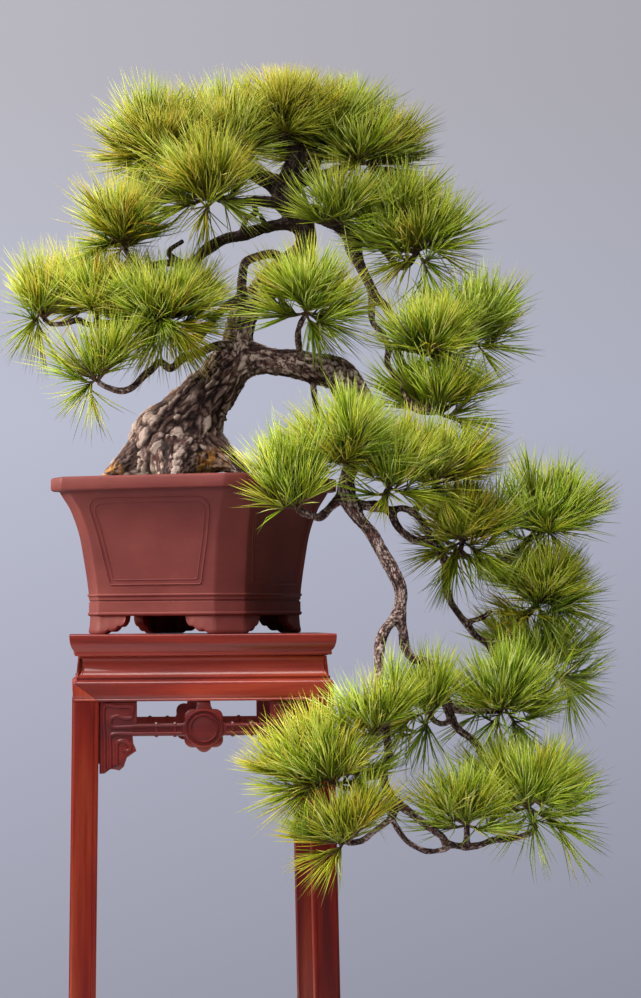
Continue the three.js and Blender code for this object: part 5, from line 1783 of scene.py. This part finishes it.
def camera():
    """The photograph's view. Lines that run straight back meet at one pixel, which gives
    the camera's turn, and the width of the stand's top gives its distance."""
    def ray(pixel):
        return np.array([(pixel[0] - PHOTO_WIDE / 2) / FOCAL, (PHOTO_HIGH / 2 - pixel[1]) / FOCAL, 1.0])

    back = unit(ray(BACK_POINT))
    up = np.array([-math.sin(ROLL), math.cos(ROLL), 0.0])
    up = unit(up - up @ back * back)
    side = np.cross(back, up)
    side *= math.copysign(1, side[0])
    world = np.array([side, back, up])
    eye = np.array([0.0, -STAND_HALF, 0.0]) - FOCAL * MM_PER_PIXEL * world @ ray(TOP_EDGE_PIXEL)
    right, above, forward = world[:, 0], world[:, 1], world[:, 2]
    matrix = Matrix(np.column_stack([right, above, -forward]).tolist()).to_4x4()
    matrix.translation = Vector(TOP + eye * MM)
    lens = bpy.data.cameras.new("camera")
    lens.sensor_fit = "VERTICAL"
    lens.sensor_height = 36
    lens.lens = 36 * FOCAL / PHOTO_HIGH
    holder = bpy.data.objects.new("camera", lens)
    holder.matrix_world = matrix
    bpy.context.scene.collection.objects.link(holder)
    bpy.context.scene.camera = holder


def area_light(name, place, target, size, power, colour):
    """A soft light at a place, facing a target, both in metres from the stand's top. Size
    is its width and height."""
    data = bpy.data.lights.new(name, "AREA")
    data.shape = "RECTANGLE"
    data.size, data.size_y = size
    data.energy = power
    data.color = colour
    holder = bpy.data.objects.new(name, data)
    way = Vector(target) - Vector(place)
    holder.rotation_euler = way.to_track_quat("-Z", "Y").to_euler()
    holder.location = Vector(TOP) + Vector(place)
    bpy.context.scene.collection.objects.link(holder)


def lights():
    """A key like a low sun, from the left and slightly behind, a soft light from overhead,
    and a weak fill from the front."""
    area_light("key", (-6.0, 1.5, 2.7), (0.0, 0.0, 0.1), (1.8, 1.8), 840, (1.0, 0.93, 0.80))
    area_light("overhead", (-0.6, -1.3, 3.0), (0.0, 0.0, 0.2), (3.0, 1.4), 150, (1.0, 0.98, 0.94))
    area_light("front", (-2.0, -3.7, 1.9), (0.1, 0.0, 0.1), (1.6, 1.6), 80, (1.0, 0.98, 0.96))


def backdrop():
    """A pale lilac surround, darkest below, lightest above the middle, and lighter to the
    left than to the right. What lights the part is dimmer: bluish from above, and nearly
    dark from below."""
    world = bpy.data.worlds.new("surround")
    bpy.context.scene.world = world
    world.use_nodes = True
    nodes, links = world.node_tree.nodes, world.node_tree.links
    nodes.clear()

    def node(kind, **values):
        made = nodes.new(kind)
        for key, value in values.items():
            made.inputs[key.replace("_", " ")].default_value = value
        return made

    split = node("ShaderNodeSeparateXYZ")
    links.new(nodes.new("ShaderNodeTexCoord").outputs["Generated"], split.inputs[0])
    spread = node("ShaderNodeMapRange", From_Min=-0.13, From_Max=0.16)
    links.new(split.outputs["Z"], spread.inputs["Value"])
    ramp = node("ShaderNodeValToRGB")
    set_stops(ramp.color_ramp, [
        (0.0, (0.315, 0.325, 0.40)), (0.35, (0.42, 0.43, 0.53)),
        (0.65, (0.505, 0.525, 0.64)), (1.0, (0.485, 0.475, 0.525)),
    ])
    links.new(spread.outputs[0], ramp.inputs["Fac"])
    fall = node("ShaderNodeMapRange", From_Min=-0.02, From_Max=0.17, To_Min=1.0, To_Max=0.82)
    links.new(split.outputs["X"], fall.inputs["Value"])
    seen = node("ShaderNodeBackground")
    links.new(ramp.outputs["Color"], seen.inputs["Color"])
    links.new(fall.outputs[0], seen.inputs["Strength"])
    lift = node("ShaderNodeMapRange", From_Min=-0.1, From_Max=0.7, To_Min=0.04, To_Max=0.42)
    links.new(split.outputs["Z"], lift.inputs["Value"])
    glow = node("ShaderNodeBackground", Color=(0.66, 0.72, 0.88, 1))
    links.new(lift.outputs[0], glow.inputs["Strength"])
    mix = node("ShaderNodeMixShader")
    links.new(nodes.new("ShaderNodeLightPath").outputs["Is Camera Ray"], mix.inputs[0])
    links.new(glow.outputs[0], mix.inputs[1])
    links.new(seen.outputs[0], mix.inputs[2])
    links.new(mix.outputs[0], nodes.new("ShaderNodeOutputWorld").inputs["Surface"])


def floor():
    """A plain pale disc under the stand."""
    finish = Finish("floor", Roughness=0.9)
    tint = finish.clouds(finish.place(), 1.5, 2)
    colour = finish.ramp(tint, [(0.3, (0.52, 0.53, 0.58)), (0.7, (0.56, 0.57, 0.62))])
    finish.feed(Base_Color=colour)
    angle = turns(96)
    rings = [
        np.column_stack([TOP[0] + r * np.cos(angle), TOP[1] + r * np.sin(angle), np.full(96, z)])
        for r, z in ((0.01, -0.001), (FLOOR_R, -0.001), (FLOOR_R, -0.02), (0.01, -0.02))
    ]
    surface = closed_grid(np.array(rings)).outward()
    mesh = bpy.data.meshes.new("floor")
    faces = surface.quads.tolist() + surface.triangles.tolist()
    mesh.from_pydata(surface.points.tolist(), [], faces)
    mesh.materials.append(finish.material)
    disc = bpy.data.objects.new("floor", mesh)
    bpy.context.scene.collection.objects.link(disc)


def main():
    camera()
    lights()
    backdrop()
    floor()
    stand()
    pot()
    soil()
    tree()
    foliage()
    bpy.context.scene.view_settings.view_transform = "Standard"
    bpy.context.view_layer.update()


main()
